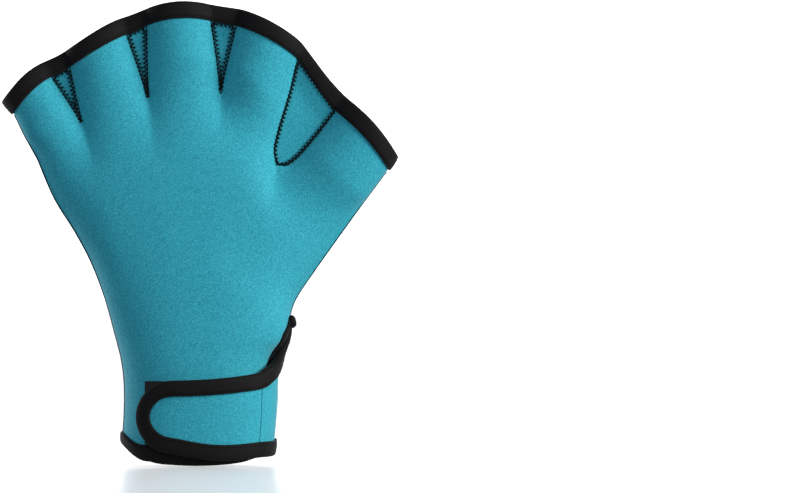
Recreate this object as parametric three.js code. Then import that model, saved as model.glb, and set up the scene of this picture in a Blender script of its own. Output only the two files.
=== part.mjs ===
import * as THREE from "three";

// Webbed swim glove for the left hand, seen from the back of the hand.
// Millimetres, +Z from the wrist to the fingertips, back of the hand towards -Y, thumb towards +X.
// The origin is the middle of the wrist opening, level with the lowest point of the cuff.

// Driving dimensions
const GLOVE_HEIGHT = 231.5;
const FAN_SPAN = 198;
const NEOPRENE = 2;
const WRIST_HALF_DEPTH = 24;
const FINGER_HALF_DEPTH = 11.5;
const VALLEY_FADE = 30;
const TAPE_WIDTH = 7.5;
const SLIT_TAPE_WIDTH = 5.6;
const TAPE_WALL = 0.8;
const CLEARANCE = 0.3;
const STRAP_SEAM_X = 31;
const STRAP_LENGTH = 61.8;
const STRAP_END_HEIGHT = 34;
const STRAP_END_Z = 24.2;
const STRAP_SEAM_TOP = 46;
const STRAP_SEAM_BOTTOM = 4.9;
const STRAP_SAG = 2;
const PATCH_WALL = 0.8;
const LOOP_PATCH_LENGTH = 36;
const LOOP_PATCH_HEIGHT = 30;
const LOOP_PATCH_LEFT = -27.5;
const LOOP_PATCH_RISE = 2.7;
const HOOK_PATCH_LENGTH = 26;
const HOOK_PATCH_HEIGHT = 13;

// Sizes that follow from them
const TAPE_STAND = CLEARANCE + TAPE_WALL;
const SEAM_HALF = CLEARANCE / 2;
const SLIT_HALF = TAPE_STAND + 2 * CLEARANCE;
const WEB_DEPTH = NEOPRENE + SEAM_HALF;
const TAPED_WEB_DEPTH = NEOPRENE + SLIT_HALF;
const STRAP_LIFT = 2 * (NEOPRENE + TAPE_STAND);

// Colours and surface of the three materials
const TEAL = { color: 0x33a6b8, roughness: 0.85, metalness: 0 };
const BLACK_TAPE = { color: 0x1d1c1d, roughness: 0.75, metalness: 0 };
const BLACK_PATCH = { color: 0x171718, roughness: 0.95, metalness: 0 };

// The lines that divide the glove from cuff to fan edge, as shares of the span and the height.
// Body rows run from the cuff to the web tips, finger rows from there to the fan edge.
const LITTLE_SIDE = {
  body: [
    { x: -0.194, z: 0.058 },
    { x: -0.189, z: 0.114 },
    { x: -0.189, z: 0.174 },
    { x: -0.196, z: 0.225 },
    { x: -0.214, z: 0.286 },
    { x: -0.237, z: 0.356 },
    { x: -0.273, z: 0.436 },
    { x: -0.312, z: 0.499 },
    { x: -0.364, z: 0.571 },
    { x: -0.408, z: 0.658 },
  ],
  finger: [
    { x: -0.408, z: 0.658 },
    { x: -0.441, z: 0.709 },
    { x: -0.468, z: 0.756 },
    { x: -0.494, z: 0.784 },
  ],
};
const THUMB_SIDE = {
  body: [
    { x: 0.189, z: 0.029 },
    { x: 0.195, z: 0.138 },
    { x: 0.196, z: 0.194 },
    { x: 0.208, z: 0.236 },
    { x: 0.223, z: 0.273 },
    { x: 0.228, z: 0.302 },
    { x: 0.229, z: 0.328 },
    { x: 0.244, z: 0.359 },
    { x: 0.286, z: 0.413 },
    { x: 0.339, z: 0.477 },
    { x: 0.366, z: 0.509 },
  ],
  finger: [
    { x: 0.366, z: 0.509 },
    { x: 0.392, z: 0.54 },
    { x: 0.445, z: 0.601 },
    { x: 0.474, z: 0.635 },
    { x: 0.494, z: 0.661 },
  ],
};
const WEBS = [
  {
    name: "little_ring",
    cuff: { x: -0.126, back: 0.013, palm: 0.038 },
    middle: { x: -0.182, z: 0.367 },
    tip: { x: -0.297, z: 0.736 },
    left: [{ x: -0.397, z: 0.864 }],
    right: [{ x: -0.337, z: 0.889 }],
  },
  {
    name: "ring_middle",
    cuff: { x: -0.063, back: 0.006, palm: 0.031 },
    middle: { x: -0.076, z: 0.389 },
    tip: { x: -0.13, z: 0.79 },
    left: [{ x: -0.199, z: 0.958 }],
    right: [{ x: -0.135, z: 0.977 }],
  },
  {
    name: "middle_index",
    cuff: { x: 0.018, back: 0.0048, palm: 0.028 },
    middle: { x: 0.03, z: 0.397 },
    tip: { x: 0.053, z: 0.805 },
    left: [{ x: 0.022, z: 0.99 }],
    right: [{ x: 0.101, z: 0.975 }],
  },
  {
    name: "index_thumb",
    cuff: { x: 0.106, back: 0.011, palm: 0.027 },
    middle: { x: 0.146, z: 0.346 },
    tip: { x: 0.193, z: 0.656 },
    left: [
      { x: 0.189, z: 0.68 },
      { x: 0.197, z: 0.713 },
      { x: 0.229, z: 0.81 },
      { x: 0.259, z: 0.907 },
    ],
    right: [
      { x: 0.211, z: 0.648 },
      { x: 0.233, z: 0.657 },
      { x: 0.29, z: 0.705 },
      { x: 0.369, z: 0.79 },
    ],
  },
];

// Height of each finger channel over the web plane, as shares of the finger's half depth
const FINGERS = [
  { name: "little", back: 0.87, palm: 0.8 },
  { name: "ring", back: 0.97, palm: 0.88 },
  { name: "middle", back: 1, palm: 0.9 },
  { name: "index", back: 1, palm: 0.9 },
  { name: "thumb", back: 1.04, palm: 0.92 },
];

// Half depth of the hand at each height, as shares of the height and of the wrist's half depth
const HAND_DEPTH = [
  { z: 0, back: 1, palm: 0.98 },
  { z: 0.2, back: 0.95, palm: 0.92 },
  { z: 0.35, back: 0.84, palm: 0.8 },
  { z: 0.5, back: 0.7, palm: 0.65 },
  { z: 0.65, back: 0.58, palm: 0.52 },
  { z: 1, back: 0.52, palm: 0.46 },
];

// Rows from the cuff tape to the web tips, as shares of the length between.
// tuck: how far the back panel's slit edge goes under the strap; wrap: how far the palm panel
// comes round to the strap's seam.
const BODY_ROWS = [
  { level: 0, tuck: 1, wrap: 1 },
  { level: 0.1, tuck: 1, wrap: 1 },
  { level: 0.2, tuck: 1, wrap: 1 },
  { level: 0.29, tuck: 1, wrap: 1 },
  { level: 0.335, tuck: 1, wrap: 0.58 },
  { level: 0.38, tuck: 1, wrap: 0.1 },
  { level: 0.43, tuck: 0.72, wrap: 0 },
  { level: 0.49, tuck: 0.28, wrap: 0 },
  { level: 0.54, tuck: 0.05, wrap: 0 },
];
const SLIT_END = { level: 0.556, tuck: 0, wrap: 0 };
const HAND_ROWS = [0.66, 0.77, 0.85, 0.91, 0.96, 1];
const FINGER_ROWS = [0.22, 0.48, 0.76];
const STRAP_TOP_ROW = 4;
const WRIST_LEVEL = 0.4;
const HAND_LEVEL = 0.58;

// Columns across each finger, as angles of half a turn, across webs and the palm's extension,
// and how round the hand and the channels are
const FINGER_COLUMNS = [0, 30, 60, 90, 120, 150, 180];
const WEB_COLUMNS = [0, 0.5, 1];
const WRAP_COLUMNS = [0.17, 0.34, 0.51, 0.68, 0.84, 1];
const HAND_ROUNDNESS = 2.3;
const CHANNEL_ROUNDNESS = 0.8;

// Fineness of the curves, of the tapes' hems, and of the patches and the strap
const CURVE_SAMPLES = 400;
const HEM_SHARES = [1 / 3, 2 / 3, 1];
const HEM_STEPS = 90;
const PROBE = 0.01;
const PATCH_ROWS = [0, 0.34, 0.67, 1];
const PATCH_COLUMNS = [0, 0.15, 0.3, 0.45, 0.6, 0.8, 1];
const STRAP_ROWS = [0, 0.18, 0.5, 0.82, 1];
const STRAP_COLUMNS = [0, 0.1, 0.25, 0.4, 0.6, 0.8, 1];
const STRAP_END_COLUMNS = [18, 36, 52, 66, 78, 90];

const { lerp, degToRad, clamp, smoothstep } = THREE.MathUtils;

// Curves in the plane of the hand

function planePoint(mark) {
  return new THREE.Vector3(mark.x * FAN_SPAN, 0, mark.z * GLOVE_HEIGHT);
}

function smoothLine(points) {
  return new THREE.CatmullRomCurve3(points, false, "centripetal");
}

function dividingLine(bodyMarks, fingerMarks) {
  return { body: smoothLine(bodyMarks.map(planePoint)), finger: smoothLine(fingerMarks.map(planePoint)) };
}

function dividingLines(side) {
  const lines = [dividingLine(LITTLE_SIDE.body, LITTLE_SIDE.finger)];
  for (const web of WEBS) {
    const body = [{ x: web.cuff.x, z: web.cuff[side] }, web.middle, web.tip];
    lines.push(dividingLine(body, [web.tip, ...web.left]));
    lines.push(dividingLine(body, [web.tip, ...web.right]));
  }
  lines.push(dividingLine(THUMB_SIDE.body, THUMB_SIDE.finger));
  return lines;
}

const LINES = { back: dividingLines("back"), palm: dividingLines("palm") };
const LAST_LINE = LINES.back.length - 1;

function silhouette(line) {
  const body = line.body.getSpacedPoints(CURVE_SAMPLES);
  const points = [...body, ...line.finger.getSpacedPoints(CURVE_SAMPLES)];
  return (z) => {
    const next = clamp(points.findIndex((point) => point.z > z), 1, points.length - 1);
    const low = points[next - 1];
    const high = points[next];
    const share = clamp((z - low.z) / Math.max(high.z - low.z, 1e-6), 0, 1);
    return lerp(low.x, high.x, share);
  };
}

const littleSideAt = silhouette(LINES.back[0]);
const thumbSideAt = silhouette(LINES.back[LAST_LINE]);

function tableAt(table, share, column) {
  const next = clamp(table.findIndex((row) => row.z > share), 1, table.length - 1);
  const low = table[next - 1];
  const high = table[next];
  return lerp(low[column], high[column], clamp((share - low.z) / (high.z - low.z), 0, 1));
}

// Rows, from the cuff's edge to the fan's edge

function bodyRow(row) {
  return { ...row, zone: "body", distance: (length) => TAPE_WIDTH + row.level * (length - TAPE_WIDTH) };
}

function fingerRow(level) {
  return { level, zone: "finger", distance: (length) => level * (length - TAPE_WIDTH) };
}

const ROWS = [
  { ...BODY_ROWS[0], zone: "body", distance: () => 0 },
  ...BODY_ROWS.map(bodyRow),
  bodyRow(SLIT_END),
  ...HAND_ROWS.map((level) => bodyRow({ level, tuck: 0, wrap: 0 })),
  ...FINGER_ROWS.map(fingerRow),
  fingerRow(1),
  { level: 1, zone: "finger", taped: true, distance: (length) => length },
];
ROWS[ROWS.length - 2].taped = true;
const SLIT_ROW = 1 + BODY_ROWS.length;
const FAN_ROW = ROWS.length - 1;

function crossing(line, row) {
  const curve = line[row.zone];
  const length = curve.getLength();
  return curve.getPointAt(clamp(row.distance(length) / length, 0, 1));
}

// The back panel's thumb edge at a height, tucked under the strap below the slit's end
const TUCK = ROWS.slice(0, SLIT_ROW + 1).map((row) => ({
  z: crossing(LINES.back[LAST_LINE], row).z,
  tuck: row.tuck,
}));

function tuckedThumbSideAt(z) {
  return thumbSideAt(z) - STRAP_LIFT * tableAt(TUCK, z, "tuck");
}

// Depth of the surface away from the plane of the hand

function handHalfDepth(z, side) {
  return tableAt(HAND_DEPTH, z / GLOVE_HEIGHT, side) * WRIST_HALF_DEPTH;
}

function ovalShare(x, left, right) {
  const across = clamp((2 * x - left - right) / (right - left), -1, 1);
  return (1 - Math.abs(across) ** HAND_ROUNDNESS) ** (1 / HAND_ROUNDNESS);
}

// The wrist's oval is level, so that the strap can follow it; the hand's follows its slanting rows
function rowOval(marks) {
  const walked = [0];
  for (let n = 1; n < marks.length; n += 1) {
    walked.push(walked[n - 1] + marks[n].distanceTo(marks[n - 1]));
  }
  return (position) => {
    const step = Math.min(Math.floor(position), marks.length - 2);
    return ovalShare(lerp(walked[step], walked[step + 1], position - step), 0, walked[marks.length - 1]);
  };
}

function handDepth(x, z, side) {
  const right = side === "back" ? tuckedThumbSideAt(z) : thumbSideAt(z);
  return handHalfDepth(z, side) * ovalShare(x, littleSideAt(z), right);
}

function strapDepth(x, z) {
  const left = littleSideAt(z) - STRAP_LIFT;
  const right = thumbSideAt(z);
  return (handHalfDepth(z, "back") + STRAP_LIFT) * ovalShare(x, left, right);
}

function strapPoint(x, z) {
  return new THREE.Vector3(x, -strapDepth(x, z), z);
}

function channelShare(finger, share, crispness) {
  const seamSide = (finger === 0 && share < 0.5) || (finger === FINGERS.length - 1 && share > 0.5);
  const wave = Math.sin(Math.PI * share);
  const crisp = seamSide ? Math.sqrt(1 - (2 * share - 1) ** 2) : Math.abs(wave) ** CHANNEL_ROUNDNESS;
  return lerp(wave ** 2, crisp, crispness);
}

// Points along one row of a panel, by finger or web and by share of its width
function panelRow(side, rowNumber) {
  const row = ROWS[rowNumber];
  const lines = LINES[side];
  const inBody = row.zone === "body";
  const used = inBody ? lines.filter((line, n) => n === 0 || n === LAST_LINE || n % 2 === 1) : lines;
  const marks = used.map((line) => crossing(line, row));
  const last = marks[marks.length - 1];
  if (side === "back" && inBody) {
    last.x -= STRAP_LIFT * row.tuck;
  }
  const curve = smoothLine(marks);
  const steps = marks.length - 1;
  const slanting = rowOval(marks);
  const slant = smoothstep(row.level, WRIST_LEVEL, HAND_LEVEL);
  const valley = inBody ? marks[Math.floor(steps / 2)].distanceTo(LINES[side][3].body.getPointAt(1)) : 0;
  const crispness = inBody ? (1 - smoothstep(valley, 0, VALLEY_FADE)) : 1;
  const open = inBody && rowNumber < SLIT_ROW;
  const wrapped = side === "palm" && row.wrap > 0;
  const thumbEdge = open ? (wrapped ? 0 : SLIT_HALF) : SEAM_HALF;
  const webDepth = row.taped ? TAPED_WEB_DEPTH : WEB_DEPTH;
  const toward = side === "back" ? -1 : 1;

  return {
    finger(number, share) {
      const start = inBody ? number : 2 * number;
      const point = curve.getPoint((start + share) / steps);
      const base = lerp(
        number === 0 ? SEAM_HALF : webDepth,
        number === FINGERS.length - 1 ? thumbEdge : webDepth,
        share,
      );
      const crest = FINGERS[number][side] * FINGER_HALF_DEPTH;
      const channel = base + (crest - base) * channelShare(number, share, crispness);
      const edge = lerp(SEAM_HALF, thumbEdge, (number + share) / FINGERS.length);
      const atSide = number + share === 0 || number + share === FINGERS.length;
      const level = atSide ? 0 : handDepth(point.x, point.z, side);
      const slanted = inBody ? handHalfDepth(point.z, side) * slanting(number + share) : 0;
      const hand = edge + lerp(level, slanted, slant);
      point.y = toward * lerp(hand, channel, crispness);
      return point;
    },
    web(number, share) {
      if (inBody) {
        return this.finger(number, 1);
      }
      const point = curve.getPoint((2 * number + 1 + share) / steps);
      point.y = toward * webDepth;
      return point;
    },
  };
}

function fingerShares() {
  return FINGER_COLUMNS.map((angle) => (1 - Math.cos(degToRad(angle))) / 2);
}

// The palm panel's extension round the thumb side, on the strap's oval
function wrapPoint(rowNumber, share) {
  const row = ROWS[rowNumber];
  const start = crossing(LINES.palm[LAST_LINE], row);
  const length = LINES.palm[LAST_LINE].body.getLength();
  const top = ROWS[STRAP_TOP_ROW].distance(length);
  const seamZ = lerp(STRAP_SEAM_BOTTOM, STRAP_SEAM_TOP, row.distance(length) / top);
  const reach = row.wrap * share;
  const z = lerp(start.z, seamZ, reach);
  const left = littleSideAt(z) - STRAP_LIFT;
  const right = thumbSideAt(z);
  const centre = (left + right) / 2;
  const seamX = STRAP_SEAM_X + SEAM_HALF;
  const seamAngle = Math.acos(((seamX - centre) / (right - centre)) ** (HAND_ROUNDNESS / 2));
  const angle = reach * seamAngle;
  const x = centre + (right - centre) * Math.cos(angle) ** (2 / HAND_ROUNDNESS);
  const depth = (handHalfDepth(z, "back") + STRAP_LIFT) * Math.sin(angle) ** (2 / HAND_ROUNDNESS);
  return new THREE.Vector3(x, -depth, z);
}

function panelGrid(side) {
  return ROWS.map((row, rowNumber) => {
    const section = panelRow(side, rowNumber);
    const points = [];
    FINGERS.forEach((finger, number) => {
      if (number > 0) {
        points.push(...WEB_COLUMNS.slice(1, -1).map((share) => section.web(number - 1, share)));
      }
      points.push(...fingerShares().map((share) => section.finger(number, share)));
    });
    if (side === "palm") {
      const end = points[points.length - 1];
      for (const share of WRAP_COLUMNS) {
        points.push(row.wrap > 0 ? wrapPoint(rowNumber, share) : end.clone());
      }
    }
    return points;
  });
}

// Closed sheets of even thickness

function merged(grid) {
  const byPlace = new Map();
  const vertices = [];
  const ids = grid.map((row) =>
    row.map((point) => {
      const key = [point.x, point.y, point.z].map((value) => value.toFixed(4)).join();
      if (!byPlace.has(key)) {
        byPlace.set(key, vertices.length);
        vertices.push(point);
      }
      return byPlace.get(key);
    }),
  );
  return { vertices, ids };
}

function gridTriangles(ids, reversed) {
  const triangles = [];
  for (let i = 0; i + 1 < ids.length; i += 1) {
    for (let j = 0; j + 1 < ids[i].length; j += 1) {
      const corners = [ids[i][j], ids[i][j + 1], ids[i + 1][j + 1], ids[i + 1][j]];
      for (const [a, b, c] of [[0, 1, 2], [0, 2, 3]]) {
        const triangle = [corners[a], corners[b], corners[c]];
        if (new Set(triangle).size === 3) {
          triangles.push(reversed ? triangle.reverse() : triangle);
        }
      }
    }
  }
  return triangles;
}

// For each vertex, the move that lifts every face round it by one: a mitre at creases.
// A vertex on a seam counts its neighbours across the seam too, so its move stays in plane.
function lifts(vertices, triangles, onSeam) {
  const steadiness = 0.02;
  const sums = vertices.map(() => ({ n: new THREE.Vector3(), m: new Array(9).fill(0), w: 0 }));
  const add = (id, normal, weight) => {
    const sum = sums[id];
    const n = normal.toArray();
    sum.n.addScaledVector(normal, weight);
    sum.w += weight;
    for (let k = 0; k < 9; k += 1) {
      sum.m[k] += weight * n[Math.floor(k / 3)] * n[k % 3];
    }
  };
  for (const triangle of triangles) {
    const [a, b, c] = triangle.map((id) => vertices[id]);
    const normal = new THREE.Triangle(a, b, c).getNormal(new THREE.Vector3());
    triangle.forEach((id, k) => {
      const ahead = vertices[triangle[(k + 1) % 3]].clone().sub(vertices[id]);
      const behind = vertices[triangle[(k + 2) % 3]].clone().sub(vertices[id]);
      const weight = ahead.angleTo(behind);
      add(id, normal, weight);
      if (onSeam(vertices[id])) {
        add(id, normal.clone().setY(-normal.y), weight);
      }
    });
  }
  return sums.map((sum) => {
    const hold = steadiness * sum.w;
    const m = sum.m;
    const matrix = new THREE.Matrix3(
      m[0] + hold, m[1], m[2],
      m[3], m[4] + hold, m[5],
      m[6], m[7], m[8] + hold,
    );
    return sum.n.clone().applyMatrix3(matrix.invert()).multiplyScalar(1 + steadiness);
  });
}

function solidFrom(vertices, triangles) {
  const geometry = new THREE.BufferGeometry();
  let volume = 0;
  for (const [a, b, c] of triangles) {
    volume += vertices[a].dot(vertices[b].clone().cross(vertices[c]));
  }
  const facing = volume > 0 ? triangles : triangles.map((triangle) => [...triangle].reverse());
  geometry.setAttribute(
    "position",
    new THREE.Float32BufferAttribute(vertices.flatMap((vertex) => vertex.toArray()), 3),
  );
  geometry.setIndex(facing.flat());
  geometry.computeVertexNormals();
  return geometry;
}

// side: the half of the glove that the sheet's lining stays in, where the sheet itself does
function sheet(grid, { wall = NEOPRENE, reversed = false, onSeam = () => false, side = 0 }) {
  const { vertices, ids } = merged(grid);
  const outer = gridTriangles(ids, reversed);
  const moves = lifts(vertices, outer, onSeam);
  vertices.forEach((vertex, n) => {
    if (Math.abs(Math.abs(vertex.x - STRAP_SEAM_X) - SEAM_HALF) < 1e-6) {
      moves[n] = strapNormal(strapPoint(STRAP_SEAM_X, vertex.z));
    }
  });
  const count = vertices.length;
  const inner = outer.map(([a, b, c]) => [c + count, b + count, a + count]);
  const edges = new Set(outer.flatMap(([a, b, c]) => [`${a},${b}`, `${b},${c}`, `${c},${a}`]));
  const rim = [];
  for (const edge of edges) {
    const [a, b] = edge.split(",").map(Number);
    if (!edges.has(`${b},${a}`)) {
      rim.push([b, a, a + count], [b, a + count, b + count]);
    }
  }
  const lining = vertices.map((vertex, n) => {
    const place = vertex.clone().addScaledVector(moves[n], -wall);
    return side * vertex.y > 0 ? place.setY(side * Math.max(side * place.y, SEAM_HALF)) : place;
  });
  return {
    grid,
    lift: ids.map((row) => row.map((id) => moves[id])),
    geometry: solidFrom([...vertices, ...lining], [...outer, ...inner, ...rim]),
  };
}

// Folded tape along an edge: each station has places from the tape's hem to the edge,
// with the lift at each, and the direction in which the edge faces.

function station(places, liftsThere, facing) {
  const edge = places[places.length - 1];
  const out = facing || edge.clone().sub(places[places.length - 2]).normalize();
  return { places, lifts: liftsThere, out };
}

function tapeSection({ places, lifts: moves, out }) {
  const last = places.length - 1;
  const at = (n, height, beyond) =>
    places[n].clone().addScaledVector(moves[n], height).addScaledVector(out, beyond);
  const inside = NEOPRENE + CLEARANCE;
  const hems = [...Array(last).keys()];
  const back = [...hems].reverse();
  const outer = [
    ...hems.map((n) => at(n, TAPE_STAND, 0)),
    at(last, TAPE_STAND, CLEARANCE),
    at(last, CLEARANCE, TAPE_STAND),
    at(last, -inside, TAPE_STAND),
    at(last, -inside - TAPE_WALL, CLEARANCE),
    ...back.map((n) => at(n, -inside - TAPE_WALL, 0)),
  ];
  const inner = [
    ...hems.map((n) => at(n, CLEARANCE, 0)),
    at(last, CLEARANCE, CLEARANCE),
    at(last, CLEARANCE, CLEARANCE),
    at(last, -inside, CLEARANCE),
    at(last, -inside, CLEARANCE),
    ...back.map((n) => at(n, -inside, 0)),
  ];
  return { outer, inner };
}

function foldedTape(stations) {
  const sections = stations.map(tapeSection);
  const rings = sections.map(({ outer, inner }) => [...outer, ...[...inner].reverse(), outer[0]]);
  const { vertices, ids } = merged(rings);
  const triangles = gridTriangles(ids, false);
  const width = sections[0].outer.length;
  for (const [n, flip] of [[0, true], [ids.length - 1, false]]) {
    const ring = ids[n];
    const across = [ring.slice(0, width), ring.slice(width, 2 * width).reverse()];
    triangles.push(...gridTriangles(across, flip));
  }
  return solidFrom(vertices, triangles);
}

function distinct(stations) {
  return stations.filter((item, n) => {
    const before = stations[n - 1];
    const edge = item.places[item.places.length - 1];
    return !before || edge.distanceTo(before.places[before.places.length - 1]) > 0.05;
  });
}

function edgeStation(panel, edgeRow, hemRow, column) {
  return station(
    [panel.grid[hemRow][column], panel.grid[edgeRow][column]],
    [panel.lift[hemRow][column], panel.lift[edgeRow][column]],
  );
}

// The panels

function onSideSeam(vertex) {
  return Math.abs(Math.abs(vertex.y) - SEAM_HALF) < 1e-6;
}

const backPanel = sheet(panelGrid("back"), { onSeam: onSideSeam, side: -1 });
const palmPanel = sheet(panelGrid("palm"), { reversed: true, onSeam: onSideSeam, side: 1 });

// Columns of a panel from the little side to the thumb side, without the palm's extension
function columnsOf() {
  return [...Array(backPanel.grid[0].length).keys()];
}

// Tape along the fan's edge of a panel
function fanTape(panel) {
  return foldedTape(columnsOf().map((column) => edgeStation(panel, FAN_ROW, FAN_ROW - 1, column)));
}

// Tape round the cuff: from the back panel's slit corner over the little side to the palm's thumb side
function cuffTape() {
  const back = columnsOf().slice(1).reverse();
  const palm = columnsOf().slice(1);
  const seam = edgeStation(backPanel, 0, 1, 0);
  seam.places = seam.places.map((place) => place.clone().setY(0));
  const stations = [
    ...back.map((column) => edgeStation(backPanel, 0, 1, column)),
    seam,
    ...palm.map((column) => edgeStation(palmPanel, 0, 1, column)),
  ];
  return foldedTape(distinct(stations));
}

// The strap: a band from the palm panel's seam to a round end

function strapOutline(x) {
  const endRadius = STRAP_END_HEIGHT / 2;
  const endX = STRAP_SEAM_X - STRAP_LENGTH + endRadius;
  const share = clamp((STRAP_SEAM_X - x) / (STRAP_SEAM_X - endX), 0, 1);
  const ease = 1 - (1 - share) ** 2;
  const round = x < endX ? Math.sqrt(Math.max(1 - ((endX - x) / endRadius) ** 2, 0)) : 1;
  const top = lerp(STRAP_SEAM_TOP, STRAP_END_Z + endRadius, ease);
  const sag = STRAP_SAG * Math.sin(Math.PI * share);
  const bottom = lerp(STRAP_SEAM_BOTTOM, STRAP_END_Z - endRadius, share ** 1.5) - sag;
  return { top: lerp(STRAP_END_Z, top, round), bottom: lerp(STRAP_END_Z, bottom, round) };
}

function strapGrid() {
  const endRadius = STRAP_END_HEIGHT / 2;
  const endX = STRAP_SEAM_X - STRAP_LENGTH + endRadius;
  const start = STRAP_SEAM_X - SEAM_HALF;
  const straight = STRAP_COLUMNS.map((share) => lerp(start, endX, share));
  const round = STRAP_END_COLUMNS.map((angle) => endX - endRadius * Math.sin(degToRad(angle)));
  const columns = [...straight, ...round].reverse();
  return STRAP_ROWS.map((share) =>
    columns.map((x) => {
      const { top, bottom } = strapOutline(x);
      return strapPoint(x, lerp(bottom, top, share));
    }),
  );
}

function strapNormal(place) {
  const step = 0.1;
  const across = strapPoint(place.x + step, place.z).sub(strapPoint(place.x - step, place.z));
  const up = strapPoint(place.x, place.z + step).sub(strapPoint(place.x, place.z - step));
  return across.cross(up).normalize();
}

// The place on the wrist's outer surface, strap side or palm side, nearest to a point beside it
function onWrist(place, normal) {
  if (Math.abs(normal.x) < Math.abs(normal.y)) {
    return strapPoint(place.x, place.z);
  }
  const side = place.y < 0 ? "back" : "palm";
  const lift = side === "back" ? STRAP_LIFT : 0;
  const left = littleSideAt(place.z) - lift;
  const right = thumbSideAt(place.z);
  const depth = handHalfDepth(place.z, side) + lift;
  const reach = (1 - Math.min(Math.abs(place.y) / depth, 1) ** HAND_ROUNDNESS) ** (1 / HAND_ROUNDNESS);
  return new THREE.Vector3(lerp((left + right) / 2, right, reach), place.y, place.z);
}

// A station whose tape lies square to its edge, on the wrist's outer surface
function squareStation(edge, lift, before, after) {
  const along = after.clone().sub(before);
  const across = lift.clone().cross(along).normalize();
  const places = [edge];
  const moves = [lift];
  for (const share of HEM_SHARES) {
    const place = onWrist(edge.clone().addScaledVector(across, share * TAPE_WIDTH), lift);
    const level = Math.abs(lift.x) < Math.abs(lift.y) ? strapNormal(place) : lift;
    places.unshift(place);
    moves.unshift(level);
  }
  return station(places, moves);
}

// A place between the rows and columns of a sheet, even across each cell
function withinCell(panel, row, column) {
  const i = clamp(Math.floor(row), 0, panel.grid.length - 2);
  const j = clamp(Math.floor(column), 0, panel.grid[0].length - 2);
  const low = panel.grid[i][j].clone().lerp(panel.grid[i][j + 1], column - j);
  const high = panel.grid[i + 1][j].clone().lerp(panel.grid[i + 1][j + 1], column - j);
  return low.lerp(high, row - i);
}

// The same place on the two faces of the cell, with its lift
function onSheet(panel, row, column) {
  const i = clamp(Math.floor(row), 0, panel.grid.length - 2);
  const j = clamp(Math.floor(column), 0, panel.grid[0].length - 2);
  const up = row - i;
  const on = column - j;
  const between = (table) => {
    const start = table[i][j].clone();
    const end = table[i + 1][j + 1];
    const corner = on > up ? table[i][j + 1] : table[i + 1][j];
    return start.lerp(corner, Math.max(on, up)).addScaledVector(end.clone().sub(corner), Math.min(on, up));
  };
  return { place: between(panel.grid), lift: between(panel.lift) };
}

// A station whose tape crosses a sheet square to a slanting edge, step by step over its faces
function slantingStation(panel, row, column, before, after) {
  const start = onSheet(panel, row, column);
  const inwards = start.lift.clone().cross(after.clone().sub(before)).normalize();
  const places = [start.place];
  const moves = [start.lift];
  let [r, c] = [row, column];
  for (let n = 1; n <= HEM_STEPS; n += 1) {
    const here = withinCell(panel, r, c);
    const up = here.clone().sub(withinCell(panel, r - PROBE, c)).divideScalar(PROBE);
    const on = here.clone().sub(withinCell(panel, r, c - PROBE)).divideScalar(PROBE);
    const [upUp, upOn, onOn] = [up.dot(up), up.dot(on), on.dot(on)];
    const [goUp, goOn] = [up.dot(inwards), on.dot(inwards)];
    const scale = SLIT_TAPE_WIDTH / HEM_STEPS / (upUp * onOn - upOn * upOn);
    r += (onOn * goUp - upOn * goOn) * scale;
    c += (upUp * goOn - upOn * goUp) * scale;
    if (n % (HEM_STEPS / HEM_SHARES.length) === 0) {
      const next = onSheet(panel, r, c);
      places.unshift(next.place);
      moves.unshift(next.lift);
    }
  }
  return station(places, moves);
}

// Stations down an edge of the slit, three to each row, with the places before and after them
function slitStations(panel, rows, columnAt, before, after) {
  const edges = rows.map((row) => onSheet(panel, row, columnAt(row)).place);
  const line = [before, before, ...edges, after, after];
  return rows.map((row, n) => slantingStation(panel, row, columnAt(row), line[n], line[n + 4]));
}

// Tape on the back panel's edge of the slit, from above the cuff's tape to the slit's end
function slitTape() {
  const edgeColumn = columnsOf().length - 1;
  const rows = [...Array(3 * (SLIT_ROW - 2)).keys()].map((n) => 1 + (n + 1) / 3);
  rows.unshift(1 + CLEARANCE / TAPE_WIDTH);
  const slitEnd = backPanel.grid[SLIT_ROW][edgeColumn];
  const cuff = backPanel.grid[1][edgeColumn];
  const stations = slitStations(backPanel, rows, () => edgeColumn, cuff, slitEnd);
  return foldedTape(distinct(stations));
}

function ladderStation(panel, column) {
  const hem = panel.grid[1][column];
  const edge = panel.grid[0][column];
  const shares = [0, ...HEM_SHARES];
  return station(
    shares.map((share) => hem.clone().lerp(edge, share)),
    shares.map((share) => panel.lift[1][column].clone().lerp(panel.lift[0][column], share)),
  );
}

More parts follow.
